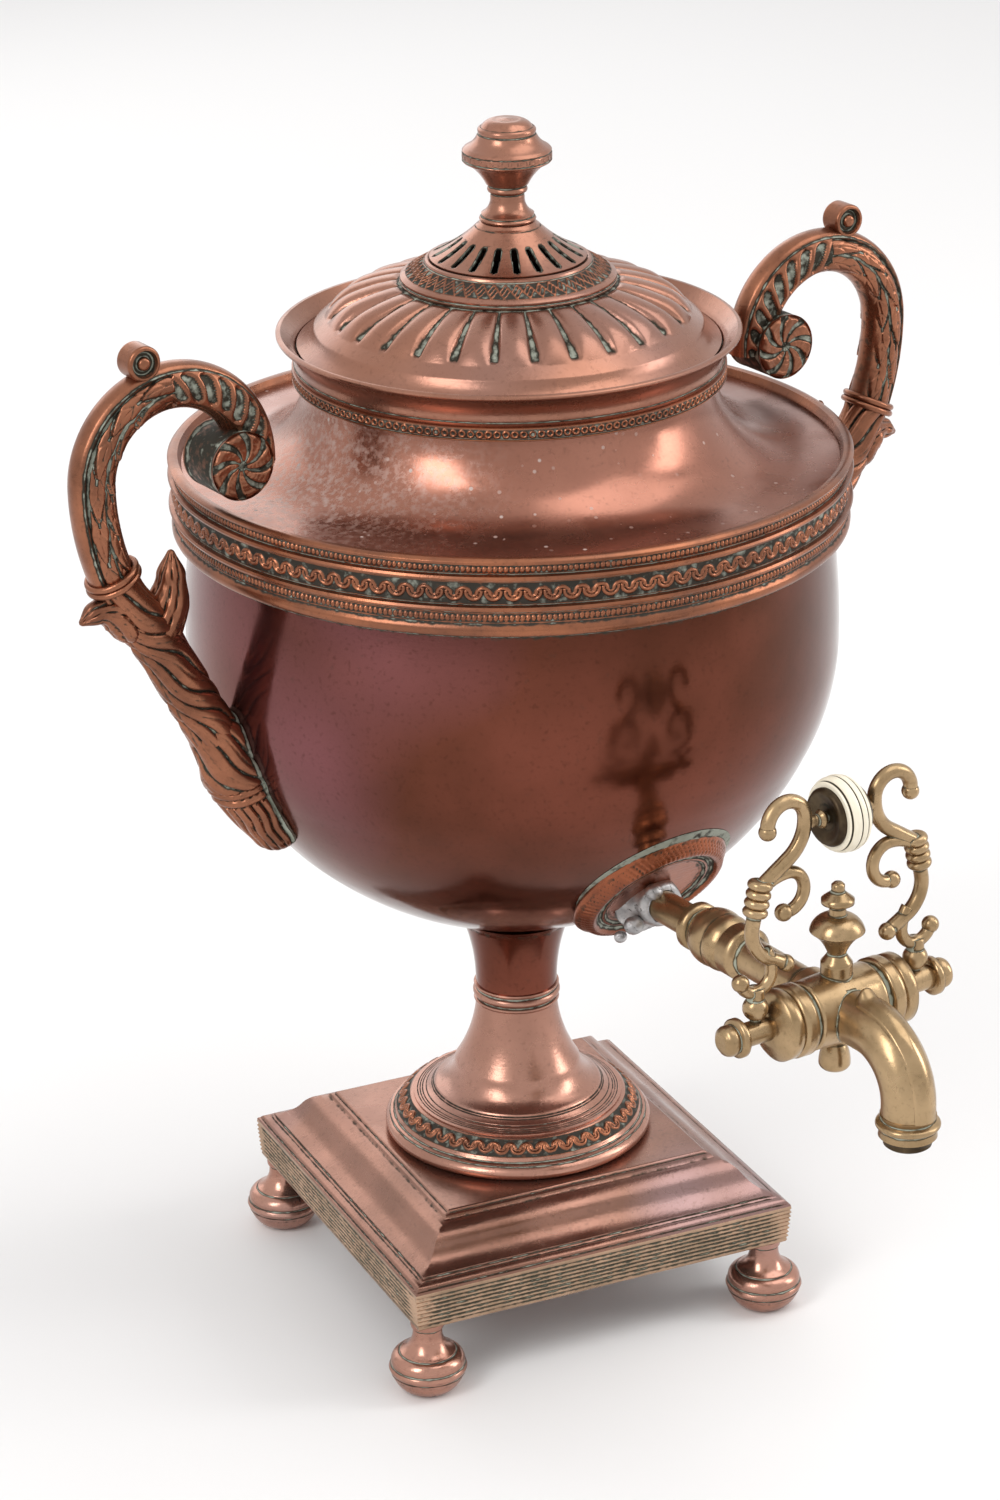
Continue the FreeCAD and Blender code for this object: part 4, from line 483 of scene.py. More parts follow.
def squared(corners, name, material, node, dirt, sharp):
    """An outline of (half side, height) corners carried round a square with mitred corners."""
    points = outline_points(corners, 0.7)
    bm = spun([(half * math.sqrt(2), z) for half, z in points], 4)
    bmesh.ops.transform(bm, matrix=Matrix.Rotation(PLINTH_TURN + TAU / 8, 4, "Z"), verts=bm.verts)
    turn = Matrix.Rotation(PLINTH_TURN, 3, "Z")
    for axis in (Vector((1, 0, 0)), Vector((0, 1, 0))):
        for cut in range(-CUTS_PER_SIDE, CUTS_PER_SIDE + 1):
            bmesh.ops.bisect_plane(bm, geom=bm.verts[:] + bm.edges[:] + bm.faces[:],
                                   plane_co=turn @ axis * cut * CUT_PITCH * MM, plane_no=turn @ axis)
    gather_dirt(bm, dirt, 0)
    for v in bm.verts:
        v.co.z += UNEVEN * MM * noise.noise(v.co * 60)
    return piece(name, bm, material, (node,), sharp)


squared([
    (0, PLATFORM), (50.2, PLATFORM), (50.8, PLATFORM - 0.3, -0.1), (51.2, PLATFORM - 1.0),
    (51.6, PLATFORM - 1.1), (52.3, PLATFORM - 1.3, -0.15), (52.8, PLATFORM - 2.0),
    (53.2, PLATFORM - 2.3, 0.9), (60.4, SLOPE + 10.2, -1.0), (68.6, SLOPE + 3.9),
    (68.8, SLOPE + 3.2), (69.4, SLOPE + 3.0), (69.8, SLOPE + 2.6, 0.3), (72.4, SLOPE + 1.5),
    (72.7, SLOPE + 0.9), (73.3, SLOPE + 0.8), (73.6, SLOPE + 0.4), (73.6, SLOPE),
    (71.5, SLOPE), (67.0, SLOPE + 2.6), (52.0, PLATFORM - 3.4), (49.0, PLATFORM - 1.4),
    (0, PLATFORM - 1.4)], "plinth_slope", plinth_copper, "plinth_top", 0.42, 38)

REEDS = 8
reed = (SLOPE - FASCIA - 1.6) / REEDS
fascia = [(71.4, FASCIA), (72.3, FASCIA, -0.35)]
fascia += [(72.3 + 0.13 * i, FASCIA + reed * i, -0.55) for i in range(1, REEDS)]
fascia += [(73.3, FASCIA + reed * REEDS, -0.3), (73.6, SLOPE), (71.4, SLOPE)]
squared(fascia, "plinth_reeds", reed_copper, "plinth_fascia", 0.30, 60)

# %% [markdown]
# The vessel's large surfaces are spun here instead of being copied, because long thin CAD
# triangles show as faults in polished metal.

# %% Waist, stem, bowl and shoulder
turned("waist_ring", raised(WAIST, [
    (9, 0), (15.2, 0), (15.4, 0.5), (15.2, 1.1), (14.5, 1.4), (14.7, 1.9, -1.0)])
    + raised(STEM, [(14.7, -1.9), (14.5, -1.4), (15.2, -1.1), (15.4, -0.5), (15.2, 0), (9, 0)]),
    0.4, 128, foot_copper_painted_pale_reflection, "waist_bead", 0.8, sharp=32)

turned("stem_flare", [
    (14.6, STEM), (14.6, STEM + 0.8, 1.1), (19.0, BOWL - 2.0), (20.6, BOWL + 0.15),
    (16, BOWL - 0.15), (16.0, BOWL - 3.0, -1.1), (13.2, STEM)],
    1.0, 128, bowl_copper_painted_dark_reflection, "stem_bell", 0.7, 1, sharp=32)

bowl_outer = [(16.0, BOWL, -0.4), (50.0, BOWL + 15.4, -1.4), (81.0, BOWL + 37.4, -1.75),
              (104.0, BOWL + 70.2, -2.2), (113.3, BOWL + 107.4, -0.83), (110.4, BAND),
              (110.4, BAND + 8)]
bowl_curve = [(0, BOWL)] + outline_points(bowl_outer, 1.6, closed=False)
bowl_back = [(max(0, r - 1.4), z + 1.4 * (1 - min(1, (z - BOWL) / 60)))
             for r, z in reversed(bowl_curve[::2])]
bowl_shell = spun(bowl_curve + bowl_back, 256)
patina = patina_layer(bowl_shell)
for v in bowl_shell.verts:
    depth = BAND + 1.0 - v.co.z / MM
    v[patina] = 1.0 - 0.75 * depth / 3.6 if 0 <= depth < 3.6 else 0.0
piece("bowl_shell", bowl_shell, bowl_copper_painted_dark_reflection, ("bowl",), 40)


def bowl_radius(level):
    """The bowl's outer radius in mm at a level in mm."""
    for (r0, z0), (r1, z1) in zip(bowl_curve[1:], bowl_curve[2:]):
        if z0 <= level <= z1:
            return r0 + (r1 - r0) * (level - z0) / max(1e-6, z1 - z0)
    return 0.0


def keep_off_bowl(bm, gap=0.1):
    """Push vertices that lie inside the bowl out to its surface."""
    for v in bm.verts:
        reach = math.hypot(v.co.x, v.co.y)
        limit = (bowl_radius(v.co.z / MM) + gap) * MM
        if 1e-6 < reach < limit:
            v.co.x *= limit / reach
            v.co.y *= limit / reach


shoulder = spun(
    outline_points([(112.4, TRAY - 1.4), (112.4, TRAY), (98.0, TRAY + 0.8, 7.5), (70.0, NECK)],
                   1.4, closed=False)
    + outline_points([(68.6, NECK), (68.6, NECK - 0.1, -7.5), (96.6, TRAY - 0.6)], 3.0, closed=False),
    256)
gather_dirt(shoulder, 0.5, 1)
piece("shoulder_slope", shoulder, shoulder_copper, ("shoulder",), 40)

# %% [markdown]
# Rolled ornament is a strip that was pressed between dies and bent round the urn. Here each
# strip is a thin ring with many faces, and a height function presses the pattern into it: a
# chain of half rings, rows of beads, small circles or waves.

# %% Rolled ornament
def strip(foot, head, repeats, per_repeat, rows, pattern, relief=1.0):
    """A thin ring from foot to head (r, z); pattern(along, across) is in mm from a repeat."""
    (r0, z0), (r1, z1) = foot, head
    height = math.hypot(r1 - r0, z1 - z0)
    face = [(r0 + (r1 - r0) * i / rows, z0 + (z1 - z0) * i / rows) for i in range(rows + 1)]
    out = ((z1 - z0) / height, (r0 - r1) / height)
    back = [(r - 0.7 * out[0], z - 0.7 * out[1]) for r, z in (face[-1], face[0])]
    bm = spun(face + back, repeats * per_repeat)
    middle = ((r0 + r1) / 2, (z0 + z1) / 2)
    pitch = TAU * middle[0] / repeats

    def shape(p):
        r = from_axis(p)
        lift = (r - r0) * out[0] + (p.z - z0) * out[1]
        across = ((r - middle[0]) * (r1 - r0) + (p.z - middle[1]) * (z1 - z0)) / height
        if lift < -0.2 or abs(across) > height / 2 - 0.12:
            return None
        along = turns(p, repeats) % 1.0
        return pattern((along - 0.5) * pitch, across, pitch, relief)

    carve(bm, shape)
    return bm


def line_rise(distance, half_width, relief):
    """A rounded raised line, with the patina of the ground beside it."""
    level = smooth_step(1.25 - distance / half_width)
    return relief * level, 0.62 * (1 - smooth_step(level * 1.6))


def half_rings(along, across, pitch, relief):
    """A running chain: a cup at each repeat, and an arch between two cups."""
    radius, best = pitch * 0.40, 9.0
    for centre in (-pitch, 0, pitch):
        d = math.hypot(along - centre, across - 0.5)
        gap = abs(d - radius) if across < 0.9 else 9.0
        inner = abs(d - radius * 0.52) + 0.15 if across < 0.6 else 9.0
        best = min(best, gap, inner)
    for centre in (-pitch / 2, pitch / 2):
        d = math.hypot(along - centre, across + 0.5)
        best = min(best, abs(d - radius * 0.92) if across > -0.2 else 9.0)
    return line_rise(best, 0.62, relief)


def beads(along, across, pitch, relief):
    d = math.hypot(along, across * 0.8) / (pitch * 0.46)
    dome = math.sqrt(max(0.0, 1 - d * d))
    return relief * dome, 0.6 * (1 - smooth_step(dome * 2))


def small_circles(along, across, pitch, relief):
    return line_rise(abs(math.hypot(along, across) - 0.95), 0.34, relief)


def waves(along, across, pitch, relief):
    best = 9.0
    for shift in (-1.5, 0.0, 1.5):
        crest = 1.5 * math.sin(TAU * along / pitch + shift * 0.9) + shift * 0.9
        best = min(best, abs(across - crest) * 0.75)
    return line_rise(best, 0.42, relief)


# %% [markdown]
# The band at the bowl's edge: a rounded lip, fillets and plain mouldings, spun from one outline,
# with three rolled strips set into it.

# %% Body band
FIELD, PROUD = 115.36, 116.9
STRIP_AT = FIELD + 0.1
GREEN_EDGE = BAND + 0.5
band_side = raised(BAND, [
    (110.5, 0), (115.2, 0), (116.0, 0.7, -0.4), (116.2, 3.6), (115.5, 4.3), (FIELD, 4.6),
    (FIELD, 8.7), (115.9, 8.8), (PROUD, 9.2, -0.35), (PROUD, 10.7), (115.7, 11.0), (FIELD, 11.1),
    (FIELD, 19.1), (115.7, 19.2), (PROUD, 19.6, -0.35), (PROUD, 21.1), (115.8, 21.4),
    (FIELD, 21.5), (FIELD, 24.9), (116.0, 25.0), (116.8, 25.2, -0.45), (116.6, 26.7)])
band_top = [(115.4, RIM), (113.6, RIM - 0.2), (112.45, TRAY + 0.1), (112.45, TRAY - 1.4),
            (110.5, TRAY - 1.4)]
band = spun(outline_points(band_side + band_top, 0.9), 256)
gather_dirt(band, 0.85, 0)
patina = patina_layer(band)
for v in band.verts:
    if v.co.z / MM < GREEN_EDGE:
        v[patina] = 0.95
piece("band_mouldings", band, band_copper, ("body_band",), 40)
for name, low, high, repeats, per_repeat, rows, pattern, relief in (
        ("guilloche", 11.3, 18.9, 115, 20, 26, half_rings, 0.75),
        ("beads_upper", 21.7, 24.7, 420, 6, 8, beads, 0.6),
        ("beads_lower", 5.0, 8.4, 420, 6, 8, beads, 0.6)):
    row = strip((STRIP_AT, BAND + low), (STRIP_AT, BAND + high), repeats, per_repeat, rows,
                pattern, relief)
    piece(f"band_{name}", row, band_copper, sharp=60)

# %% [markdown]
# The mouth: a neck band of small circles below a flared rim with a knurled edge.

# %% Neck band and mouth rim
turned("neck_fillets", [
    (68.6, NECK), (73.4, NECK), (73.8, NECK + 0.3), (73.8, NECK + 0.6), (73.3, NECK + 0.8),
    (73.3, MOUTH - 0.8), (73.8, MOUTH - 0.6), (73.8, MOUTH - 0.2), (73.3, MOUTH), (68.6, MOUTH)],
    0.6, 224, band_copper, "neck_band", 0.7)
circles = strip((73.4, NECK + 0.9), (73.4, MOUTH - 0.9), 160, 12, 12, small_circles, 0.45)
piece("neck_circles", circles, band_copper, sharp=60)
turned("mouth_flare", [
    (68.6, MOUTH), (72.9, MOUTH), (73.2, MOUTH + 0.4), (73.4, MOUTH + 1.1), (73.0, MOUTH + 1.3),
    (73.2, MOUTH + 2.4, 1.5), (78.6, LIP - 1.6), (78.9, LIP - 1.1), (78.9, LIP - 0.5),
    (78.3, LIP, -0.1), (77.3, LIP), (73.6, LIP - 3.4), (72.2, LIP - 5.3), (72.2, LIP - 6.3),
    (68.6, LIP - 6.3)], 0.7, 224, lid_copper, "mouth_rim", 0.6)


def slanting_cuts(along, across, pitch, relief):
    return relief * smooth_step(1 - abs(along + across * 0.5) / (pitch * 0.42)), 0.2


knurl = strip((78.5, LIP - 1.5), (78.5, LIP - 0.4), 300, 6, 5, slanting_cuts, 0.35)
piece("mouth_knurl", knurl, lid_copper, sharp=60)

# %% [markdown]
# The lid is gadrooned: 28 lobes were hammered up from inside, and the hollows between them hold
# verdigris. A spun dome with 22 steps in each lobe is carved by a function of the radius and of
# the place across the lobe.

# %% Lid
LOBES, LOBE_STEPS = 28, 22
LOBES_FROM, LOBES_TO = 36.2, 68.5


def gadroons(p):
    r = from_axis(p)
    if not LOBES_FROM < r < LOBES_TO or p.z < LID + 4:
        return None
    part = zigzag(turns(p, LOBES))
    t = (r - 36.6) / 29.4
    half = 0.88 - 0.15 * t
    end = math.cos(math.pi / 2 * clamped((r - 52.5) / 9.5))
    start = smooth_step((r - 36.4) / 3.0)
    if part < half:
        dome = math.sqrt(max(0.0, 1 - (part / half) ** 2.0))
        return (0.6 + 2.3 * t) * dome * end * start, 0.0
    bottom = smooth_step((part - half) / 0.07)
    fade = smooth_step((61.4 - r) / 2.4)
    return -(0.5 + 0.6 * t) * bottom * fade * start, 0.82 * bottom * fade


dome_outer = (outline_points([(71.9, LID), (71.9, LID + 1.6, 0.9), (66.0, LID + 7.5)], 0.6, False)
              + outline_points([(66.0, LID + 7.5, -2.2), (36.0, CROWN)], 0.42, False)[1:]
              + [(30, CROWN + 0.4), (25.2, CROWN + 0.8), (25.2, CROWN - 0.6)])
dome_inner = outline_points([(36.0, CROWN - 1.4, 2.2), (64.6, LID + 6.1), (66.5, LID)], 3.5, False)
lid = spun(dome_outer + dome_inner, LOBES * LOBE_STEPS)
carve(lid, gadroons)
lid_patina = patina_layer(lid)
for v in lid.verts:
    r, z = math.hypot(v.co.x, v.co.y) / MM, v.co.z / MM
    if 36.0 < r < 38.4 and z > CROWN - 2:
        v[lid_patina] = max(v[lid_patina], 0.80 * smooth_step((38.4 - r) / 1.6))
piece("lid_gadroons", lid, lid_copper, ("lid_dome",), 60, "lid")

turned("vent_ring_body", raised(CROWN, [
    (25.2, 0.8), (36.0, 0), (36.5, 0.2), (36.7, 0.9), (36.3, 1.3), (36.5, 1.7), (36.5, 2.3),
    (35.7, 2.9), (34.9, 3.2), (28.4, 6.9)]) + [
    (28.0, CONE), (27.2, CONE + 0.3), (26.4, CONE), (25.2, CONE)],
    0.6, 192, lid_copper, "lid_vent_ring", 0.8, body="lid")
wave_band = strip((34.8, CROWN + 3.3), (28.6, CROWN + 6.85), 50, 16, 18, waves, 0.34)
piece("vent_ring_waves", wave_band, band_copper, sharp=60, body="lid")

# %% [markdown]
# The vent cone is thin sheet with 20 long slots. Faces of a spun shell are taken out where the
# slots are, and the Solidify modifier gives the sheet its thickness again.

# %% Vent cone
SLOTS = 20
SLOT_FROM, SLOT_TO, SLOT_HALF = 16.6, 24.2, 1.12
SCRIBED_LINES = (15.0, 14.1, 11.0)
SHEET = 1.2


def slotted_cone():
    face = outline_points([(26.4, CONE + 0.2), (26.5, CONE + 0.9, 0.9), (10.6, CONE + 11.6)], 0.55,
                          False)
    face += outline_points([(9.9, CONE + 11.9), (9.6, CONE + 12.6), (9.0, CONE + 13.0),
                            (3.2, CONE + 13.1)], 0.6, False)
    bm = spun(face, SLOTS * 20, closed=False)
    layer = patina_layer(bm)

    def outside(p):
        """Distance in mm from the nearest slot's edge, negative inside the slot."""
        r = from_axis(p)
        turn = turns(p, SLOTS) % 1.0 - 0.5
        side = abs(turn) * TAU * r / SLOTS
        past = max(0.0, SLOT_FROM - r, r - SLOT_TO)
        return math.hypot(side, past) - SLOT_HALF

    holes = [f for f in bm.faces if outside(f.calc_center_median() / MM) < 0]
    bmesh.ops.delete(bm, geom=holes, context="FACES")
    for v in bm.verts:
        r = from_axis(v.co) / MM
        away = outside(v.co / MM)
        v[layer] = 0.75 * (1 - smooth_step(away / 0.55))
        for line in SCRIBED_LINES:
            v[layer] = max(v[layer], 0.42 * (1 - smooth_step(abs(r - line) / 0.3)))
    bmesh.ops.recalc_face_normals(bm, faces=bm.faces)
    obj = piece("vent_cone_slotted", bm, lid_copper, ("lid_vent_cone",), 50, "lid")
    sheet = obj.modifiers.new("sheet", "SOLIDIFY")
    sheet.thickness = SHEET * MM
    sheet.offset = -1


slotted_cone()

# %% [markdown]
# The knob is a turned urn shape; under its top is a band of small carved ovals.

# %% Lid knob
KNOB_OVALS = 30
OVALS_AT = KNOB + 22.3


def knob_band(p):
    r = from_axis(p)
    if r < 12.5 or abs(p.z - OVALS_AT) >= 1.0:
        return None
    part = zigzag(turns(p, KNOB_OVALS))
    d = math.hypot(part, abs(p.z - OVALS_AT) / 1.1)
    cut = smooth_step(1 - abs(d - 0.75) * 4)
    return -0.25 * cut, 0.36 * cut


turned("knob_turned", raised(KNOB, [
    (0, -10), (3, -10), (3, 0), (9.3, 0), (9.6, 0.6), (9.3, 1.2), (8.8, 1.5), (8.9, 2.3, 1.0),
    (5.8, 8.0), (5.6, 9.2), (6.6, 9.9, -0.2), (6.6, 11.2), (6.2, 11.8), (7.2, 12.4, 0.6),
    (13.4, 19.6), (14.7, 20.1), (15.1, 20.6), (14.9, 21.0), (15.1, 21.4), (15.1, 23.2),
    (14.9, 23.5), (15.0, 24.0), (14.4, 24.7), (13.9, 25.0, 0.5), (10.0, 29.0), (9.6, 29.5),
    (9.8, 30.5, -0.2), (9.2, 31.6), (8.8, 31.7), (8.5, 32.0, -0.7), (4.0, 34.1), (0, 34.5)]),
    0.5, 180, lid_copper, "lid_knob", 0.55, sharp=45, body="lid", shape=knob_band)
cad_copy("lid_bezel", tinned, "bezel_collar", body="lid")
cad_copy("knob_nut", black_iron, "nut_under_knob", body="lid")

# %% [markdown]
# The pedestal: a chased ring at its foot and a hollow trumpet above, with fine scratched lines.

# %% Pedestal
turned("pedestal_moulding", raised(PLATFORM, [
    (33, 0), (46.0, 0), (47.6, 1.0, -0.7), (47.6, 4.4), (46.4, 5.4), (46.4, 6.0), (45.0, 6.3),
    (44.3, 7.4), (44.1, 7.9)]) + [(38.9, TRUMPET - 0.2), (38.4, TRUMPET), (33, TRUMPET)],
    0.7, 224, foot_copper_painted_pale_reflection, "pedestal_ring", 0.7)
chain = strip((44.3, PLATFORM + 8.0), (39.1, TRUMPET - 0.4), 45, 22, 24, half_rings, 0.55)
piece("pedestal_guilloche", chain, band_copper, sharp=60)


INCISED_LINES = (36.4, 35.5, 34.6, 33.3, 31.2, 30.6)
LINE_DEPTH = 0.22


def incised(p):
    """Scratched rings near the foot of the trumpet."""
    r = from_axis(p)
    for line in INCISED_LINES:
        away = abs(r - line)
        if away < LINE_DEPTH:
            return -LINE_DEPTH * (1 - away / LINE_DEPTH), 0.5
    return None


trumpet = spun(outline_points([
    (37.8, TRUMPET), (37.8, TRUMPET + 0.6, 1.0), (30.0, TRUMPET + 4.6)], 0.11, False)
    + outline_points([(30.0, TRUMPET + 4.6, 1.5), (22.6, TRUMPET + 13.4, 1.6), (14.6, WAIST)], 1.0,
                     False)[1:]
    + outline_points([(13.2, WAIST, -1.6), (21.2, TRUMPET + 12.0, -2.6), (35, TRUMPET)], 2.0,
                     False), 192)
gather_dirt(trumpet, 0.3, 0)
carve(trumpet, incised)
piece("trumpet_spun", trumpet, foot_copper_painted_pale_reflection, ("pedestal_trumpet",), 45)

# %% [markdown]
# The handles are castings in high relief. Each is a tube along the CAD path whose skin is
# lifted by a function of the way along it and of the angle round it: zero is the outward side,
# 90 degrees the side that the camera sees. The left handle is the right one mirrored.

# %% Tube helper
def path_points(start, heading, moves, step=0.5):
    """Walk straight ("go", mm) and along arcs ("turn", radius, degrees); (x, z, heading) list."""
    x, z = start
    angle = math.radians(heading)
    places = [(x, z, angle)]
    for move in moves:
        length = move[1] if move[0] == "go" else abs(move[1] * math.radians(move[2]))
        count = max(1, round(length / step))
        bend = 0 if move[0] == "go" else math.radians(move[2]) / count
        for _ in range(count):
            angle += bend / 2
            x += math.cos(angle) * length / count
            z += math.sin(angle) * length / count
            angle += bend / 2
            places.append((x, z, angle))
    return places


def skin_tube(places, step, skin, round_ends=(True, True), sides=96, flat=1.0):
    """Extrude a ring along the places; skin(along, degrees) gives (radius, patina)."""
    bm = bmesh.new()
    layer = patina_layer(bm)
    made = bmesh.ops.create_circle(bm, segments=sides, radius=MM)
    ring = made["verts"]
    edges = list({e for v in ring for e in v.link_edges})
    last = len(places) - 1
    total = last * step
    cap_from = []
    for i, (x, z, angle) in enumerate(places):
        if i:
            grown = bmesh.ops.extrude_edge_only(bm, edges=edges)["geom"]
            fresh = {g for g in grown if isinstance(g, bmesh.types.BMVert)}
            ring = [next(e.other_vert(v) for e in v.link_edges if e.other_vert(v) in fresh)
                    for v in ring]
            edges = [e for e in grown if isinstance(e, bmesh.types.BMEdge)
                     and e.verts[0] in fresh and e.verts[1] in fresh]
        along = i * step
        outward = Vector((-math.sin(angle), 0, math.cos(angle)))
        for k, v in enumerate(ring):
            degrees = 360 * k / sides
            degrees = degrees - 360 if degrees > 180 else degrees
            radius, patina = skin(along, degrees)
            size = radius
            if round_ends[0] and along < radius:
                size = radius * math.sqrt(max(0.0, 1 - (1 - along / radius) ** 2))
            left = total - along
            if round_ends[1] and left < radius:
                size = min(size, radius * math.sqrt(max(0.0, 1 - (1 - left / radius) ** 2)))
            a = math.radians(degrees)
            v.co = (Vector((x, 0, z)) + outward * math.cos(a) * size
                    + Vector((0, -1, 0)) * math.sin(a) * size * flat) * MM
            v[layer] = patina
        if i in (0, last):
            cap_from.append(list(ring))
    for ends in cap_from:
        bm.faces.new(ends)
    bmesh.ops.remove_doubles(bm, verts=bm.verts, dist=1e-7)
    bmesh.ops.recalc_face_normals(bm, faces=bm.faces)
    return bm


def add_to(bm, other):
    """Append a bmesh to another one and free it."""
    mesh = bpy.data.meshes.new("joining")
    other.to_mesh(mesh)
    other.free()
    bm.from_mesh(mesh)
    bpy.data.meshes.remove(mesh)


def turned_about(outline, place, towards, steps=96, shape=None):
    """A spun outline whose axis stands at place (mm) and points along towards."""
    bm = spun(outline, steps)
    gather_dirt(bm, 0.9, 1)
    if shape:
        carve(bm, shape)
    turn = Vector((0, 0, 1)).rotation_difference(Vector(towards)).to_matrix().to_4x4()
    bmesh.ops.transform(bm, matrix=Matrix.Translation(Vector(place) * MM) @ turn, verts=bm.verts)
    return bm


# %% [markdown]
# The skin of the scroll. A plain rim runs along its outward side. Beside the volute the sides
# have rows of hollow flutes with thin ribs; past the curl they have overlapping pointed leaves,
# in two columns that are given by their middle and half width in degrees.

# %% Scroll skin
SCROLL_RADIUS = 8.2
FLUTES_END = 50.0
LEAVES_FROM = 53.0
LEAF_PITCH = 14.0
LEAVES = 7
LEAF_COLUMNS = ((71, 28), (125, 30))
FLUTE_PITCH = 6.3
PLAIN_RIM, GROOVE_END, UNDERSIDE = 33, 44, 128
LEAF_LENGTH = 22.5


def one_leaf(t, q, seed):
    """Height in mm and patina of a leaf; t runs to its tip, q across it."""
    if not 0 <= t <= 1:
        return None
    width = min(1.0, ((1 - t) / 0.42) ** 0.75) if t > 0.58 else 0.84 + 0.16 * t / 0.58
    width *= 1 - 0.10 * abs(math.sin(8.0 * t + seed)) * smooth_step(t * 4)
    q += 0.16 * math.sin(2.6 * t + seed)
    if abs(q) >= width:
        return None
    edge = (1 - (abs(q) / width) ** 3.2) ** 0.5
    height = (0.1 + 1.85 * t) * (0.30 + 0.70 * edge)
    vein = abs(q) / 0.10
    height -= 0.42 * (1 - smooth_step(vein)) * (1 - 0.5 * t)
    side = zigzag(t * 3.4 - abs(q) * 0.85 + seed)
    height -= 0.30 * smooth_step((side - 0.72) / 0.25) * (1 - 0.4 * t)
    border = smooth_step((abs(q) / width - 0.80) / 0.16)
    dirt = 0.30 * smooth_step((side - 0.8) / 0.2) + 0.25 * (1 - smooth_step(vein * 1.2))
    return height, max(dirt, 0.72 * border)


def leaf_point_painted_shadow(t, q):
    """Painted shadow beside the pointed end of a leaf, where it lies over the next one."""
    if not 0.5 < t < 1.08:
        return 0.0
    away = abs(q) - clamped((1 - t) / 0.42) ** 0.75
    return smooth_step((t - 0.5) * 6) * (1 - smooth_step(away / 0.26)) if away > -0.02 else 0.0


def scroll_skin(along, degrees):
    turn = abs(degrees)
    seed = 0.0 if degrees > 0 else 1.7
    rise, patina = 0.0, 0.0
    if turn < PLAIN_RIM:
        rise = -0.25 * smooth_step((turn - 25) / 8)
    elif turn < GROOVE_END:
        middle = 1 - abs(turn - 38.5) / 5.5
        rise, patina = -0.25 - 0.65 * smooth_step(middle), 0.78 * smooth_step(middle * 1.4)
    elif along < FLUTES_END and turn < UNDERSIDE:
        cell = (along + 1.0) / FLUTE_PITCH + (turn - GROOVE_END) / 78
        part = zigzag(cell)
        reach = math.hypot(part / 0.78, max(0.0, abs(turn - 84) - 22) / 17)
        hollow = smooth_step((1.0 - reach) / 0.35)
        rise = -0.1 - 1.45 * hollow
        patina = 0.76 * smooth_step((hollow - 0.30) * 2)
    elif along < FLUTES_END:
        side = zigzag(along * 0.06 + (turn - UNDERSIDE) / 24)
        cut = smooth_step((side - 0.75) / 0.25)
        rise = -0.85 - 0.5 * cut
        patina = 0.55 * cut + 0.75 * (1 - smooth_step((turn - UNDERSIDE) / 4))
    else:
        rise, patina = -2.1, 0.98
        for column, (middle, half) in enumerate(LEAF_COLUMNS):
            q = (turn - middle) / half
            shift = LEAVES_FROM - LEAF_PITCH + 0.5 * LEAF_PITCH * column
            # shade is a painted shadow beside the point of the leaf above: it darkens the next leaf
            # through its patina number, and also sinks that leaf a little.
            shade = 0.0
            for k in range(LEAVES):
                t = (along - shift - k * LEAF_PITCH) / LEAF_LENGTH
                leaf = one_leaf(t, q, seed + k * 1.3 + column)
                if leaf and leaf[0] - 2.0 > rise:
                    rise = leaf[0] - 2.0 - 0.5 * shade
                    patina = max(leaf[1], 0.92 * shade)
                shade = max(shade, leaf_point_painted_shadow(t, q))
        inner = smooth_step((turn - UNDERSIDE) / 22)
        rise += (-0.9 - rise) * inner
        patina *= 1 - 0.8 * inner
        if turn < 50:
            patina = max(patina, 0.8 * (1 - smooth_step((turn - GROOVE_END) / 6)))
    return SCROLL_RADIUS + rise, patina


VOLUTE = (111.0, 0.0, 335.0)
CURL = (142.6, 0.0, 374.1)
PETALS = 8
VOLUTE_RADIUS, VOLUTE_HALF, VOLUTE_RINGS = 11.6, 9.5, 26
STEP = 0.5
scroll_places = path_points((102.6, 332.5), 90,
                            [("go", 2.0), ("turn", 29.4, -180), ("turn", 86.0, -20)], STEP)


def pinwheel(p):
    """Eight bent petals on both ends of the volute."""
    r = from_axis(p)
    if abs(p.z) < 8.4 or r > 11.4:
        return None
    swirl = turns(p, PETALS) + (1 if p.z > 0 else -1) * 0.95 * (r / 11.2)
    part = zigzag(swirl)
    open_part = smooth_step((0.80 - part) / 0.30)
    edge = smooth_step((11.3 - r) / 1.4)
    notch = 0.25 * abs(math.sin(r * 2.4))
    rise = (0.35 + 1.5 * (r / 11.2)) * open_part * edge - 0.5 - notch * open_part
    green = max(1 - open_part, smooth_step((2.3 - r) / 1.0))
    return rise + 0.35 * noise.noise(Vector(p) * 0.45), 0.78 * green


def volute_and_curl():
    face = [(VOLUTE_RADIUS * i / VOLUTE_RINGS, -VOLUTE_HALF) for i in range(VOLUTE_RINGS + 1)]
    side = [(11.6, -8.6), (11.2, -7.6), (11.5, -6.0), (11.5, 6.0), (11.2, 7.6), (11.6, 8.6)]
    back = [(r, VOLUTE_HALF) for r, _ in reversed(face)]
    bm = turned_about(face + side + back, VOLUTE, (0, -1, 0), 160, pinwheel)
    curl = outline_points([
        (0, -4.9), (1.5, -4.7), (2.2, -3.9), (2.4, -2.8), (3.7, -2.6), (4.2, -3.4), (4.6, -4.4),
        (5.4, -4.4), (5.9, -3.6), (5.9, 3.6), (5.4, 4.4), (4.6, 4.4), (4.2, 3.4), (3.7, 2.6),
        (2.4, 2.8), (2.2, 3.9), (1.5, 4.7), (0, 4.9)], 0.45)
    add_to(bm, turned_about(curl, CURL, (0, -1, 0), 72))
    return bm


# %% [markdown]
# Below the scroll a double bead crosses the handle, and two leaf tips part from the arm under
# it: one points outward, the other up along the bowl. The arm carries slanting acanthus flutes.

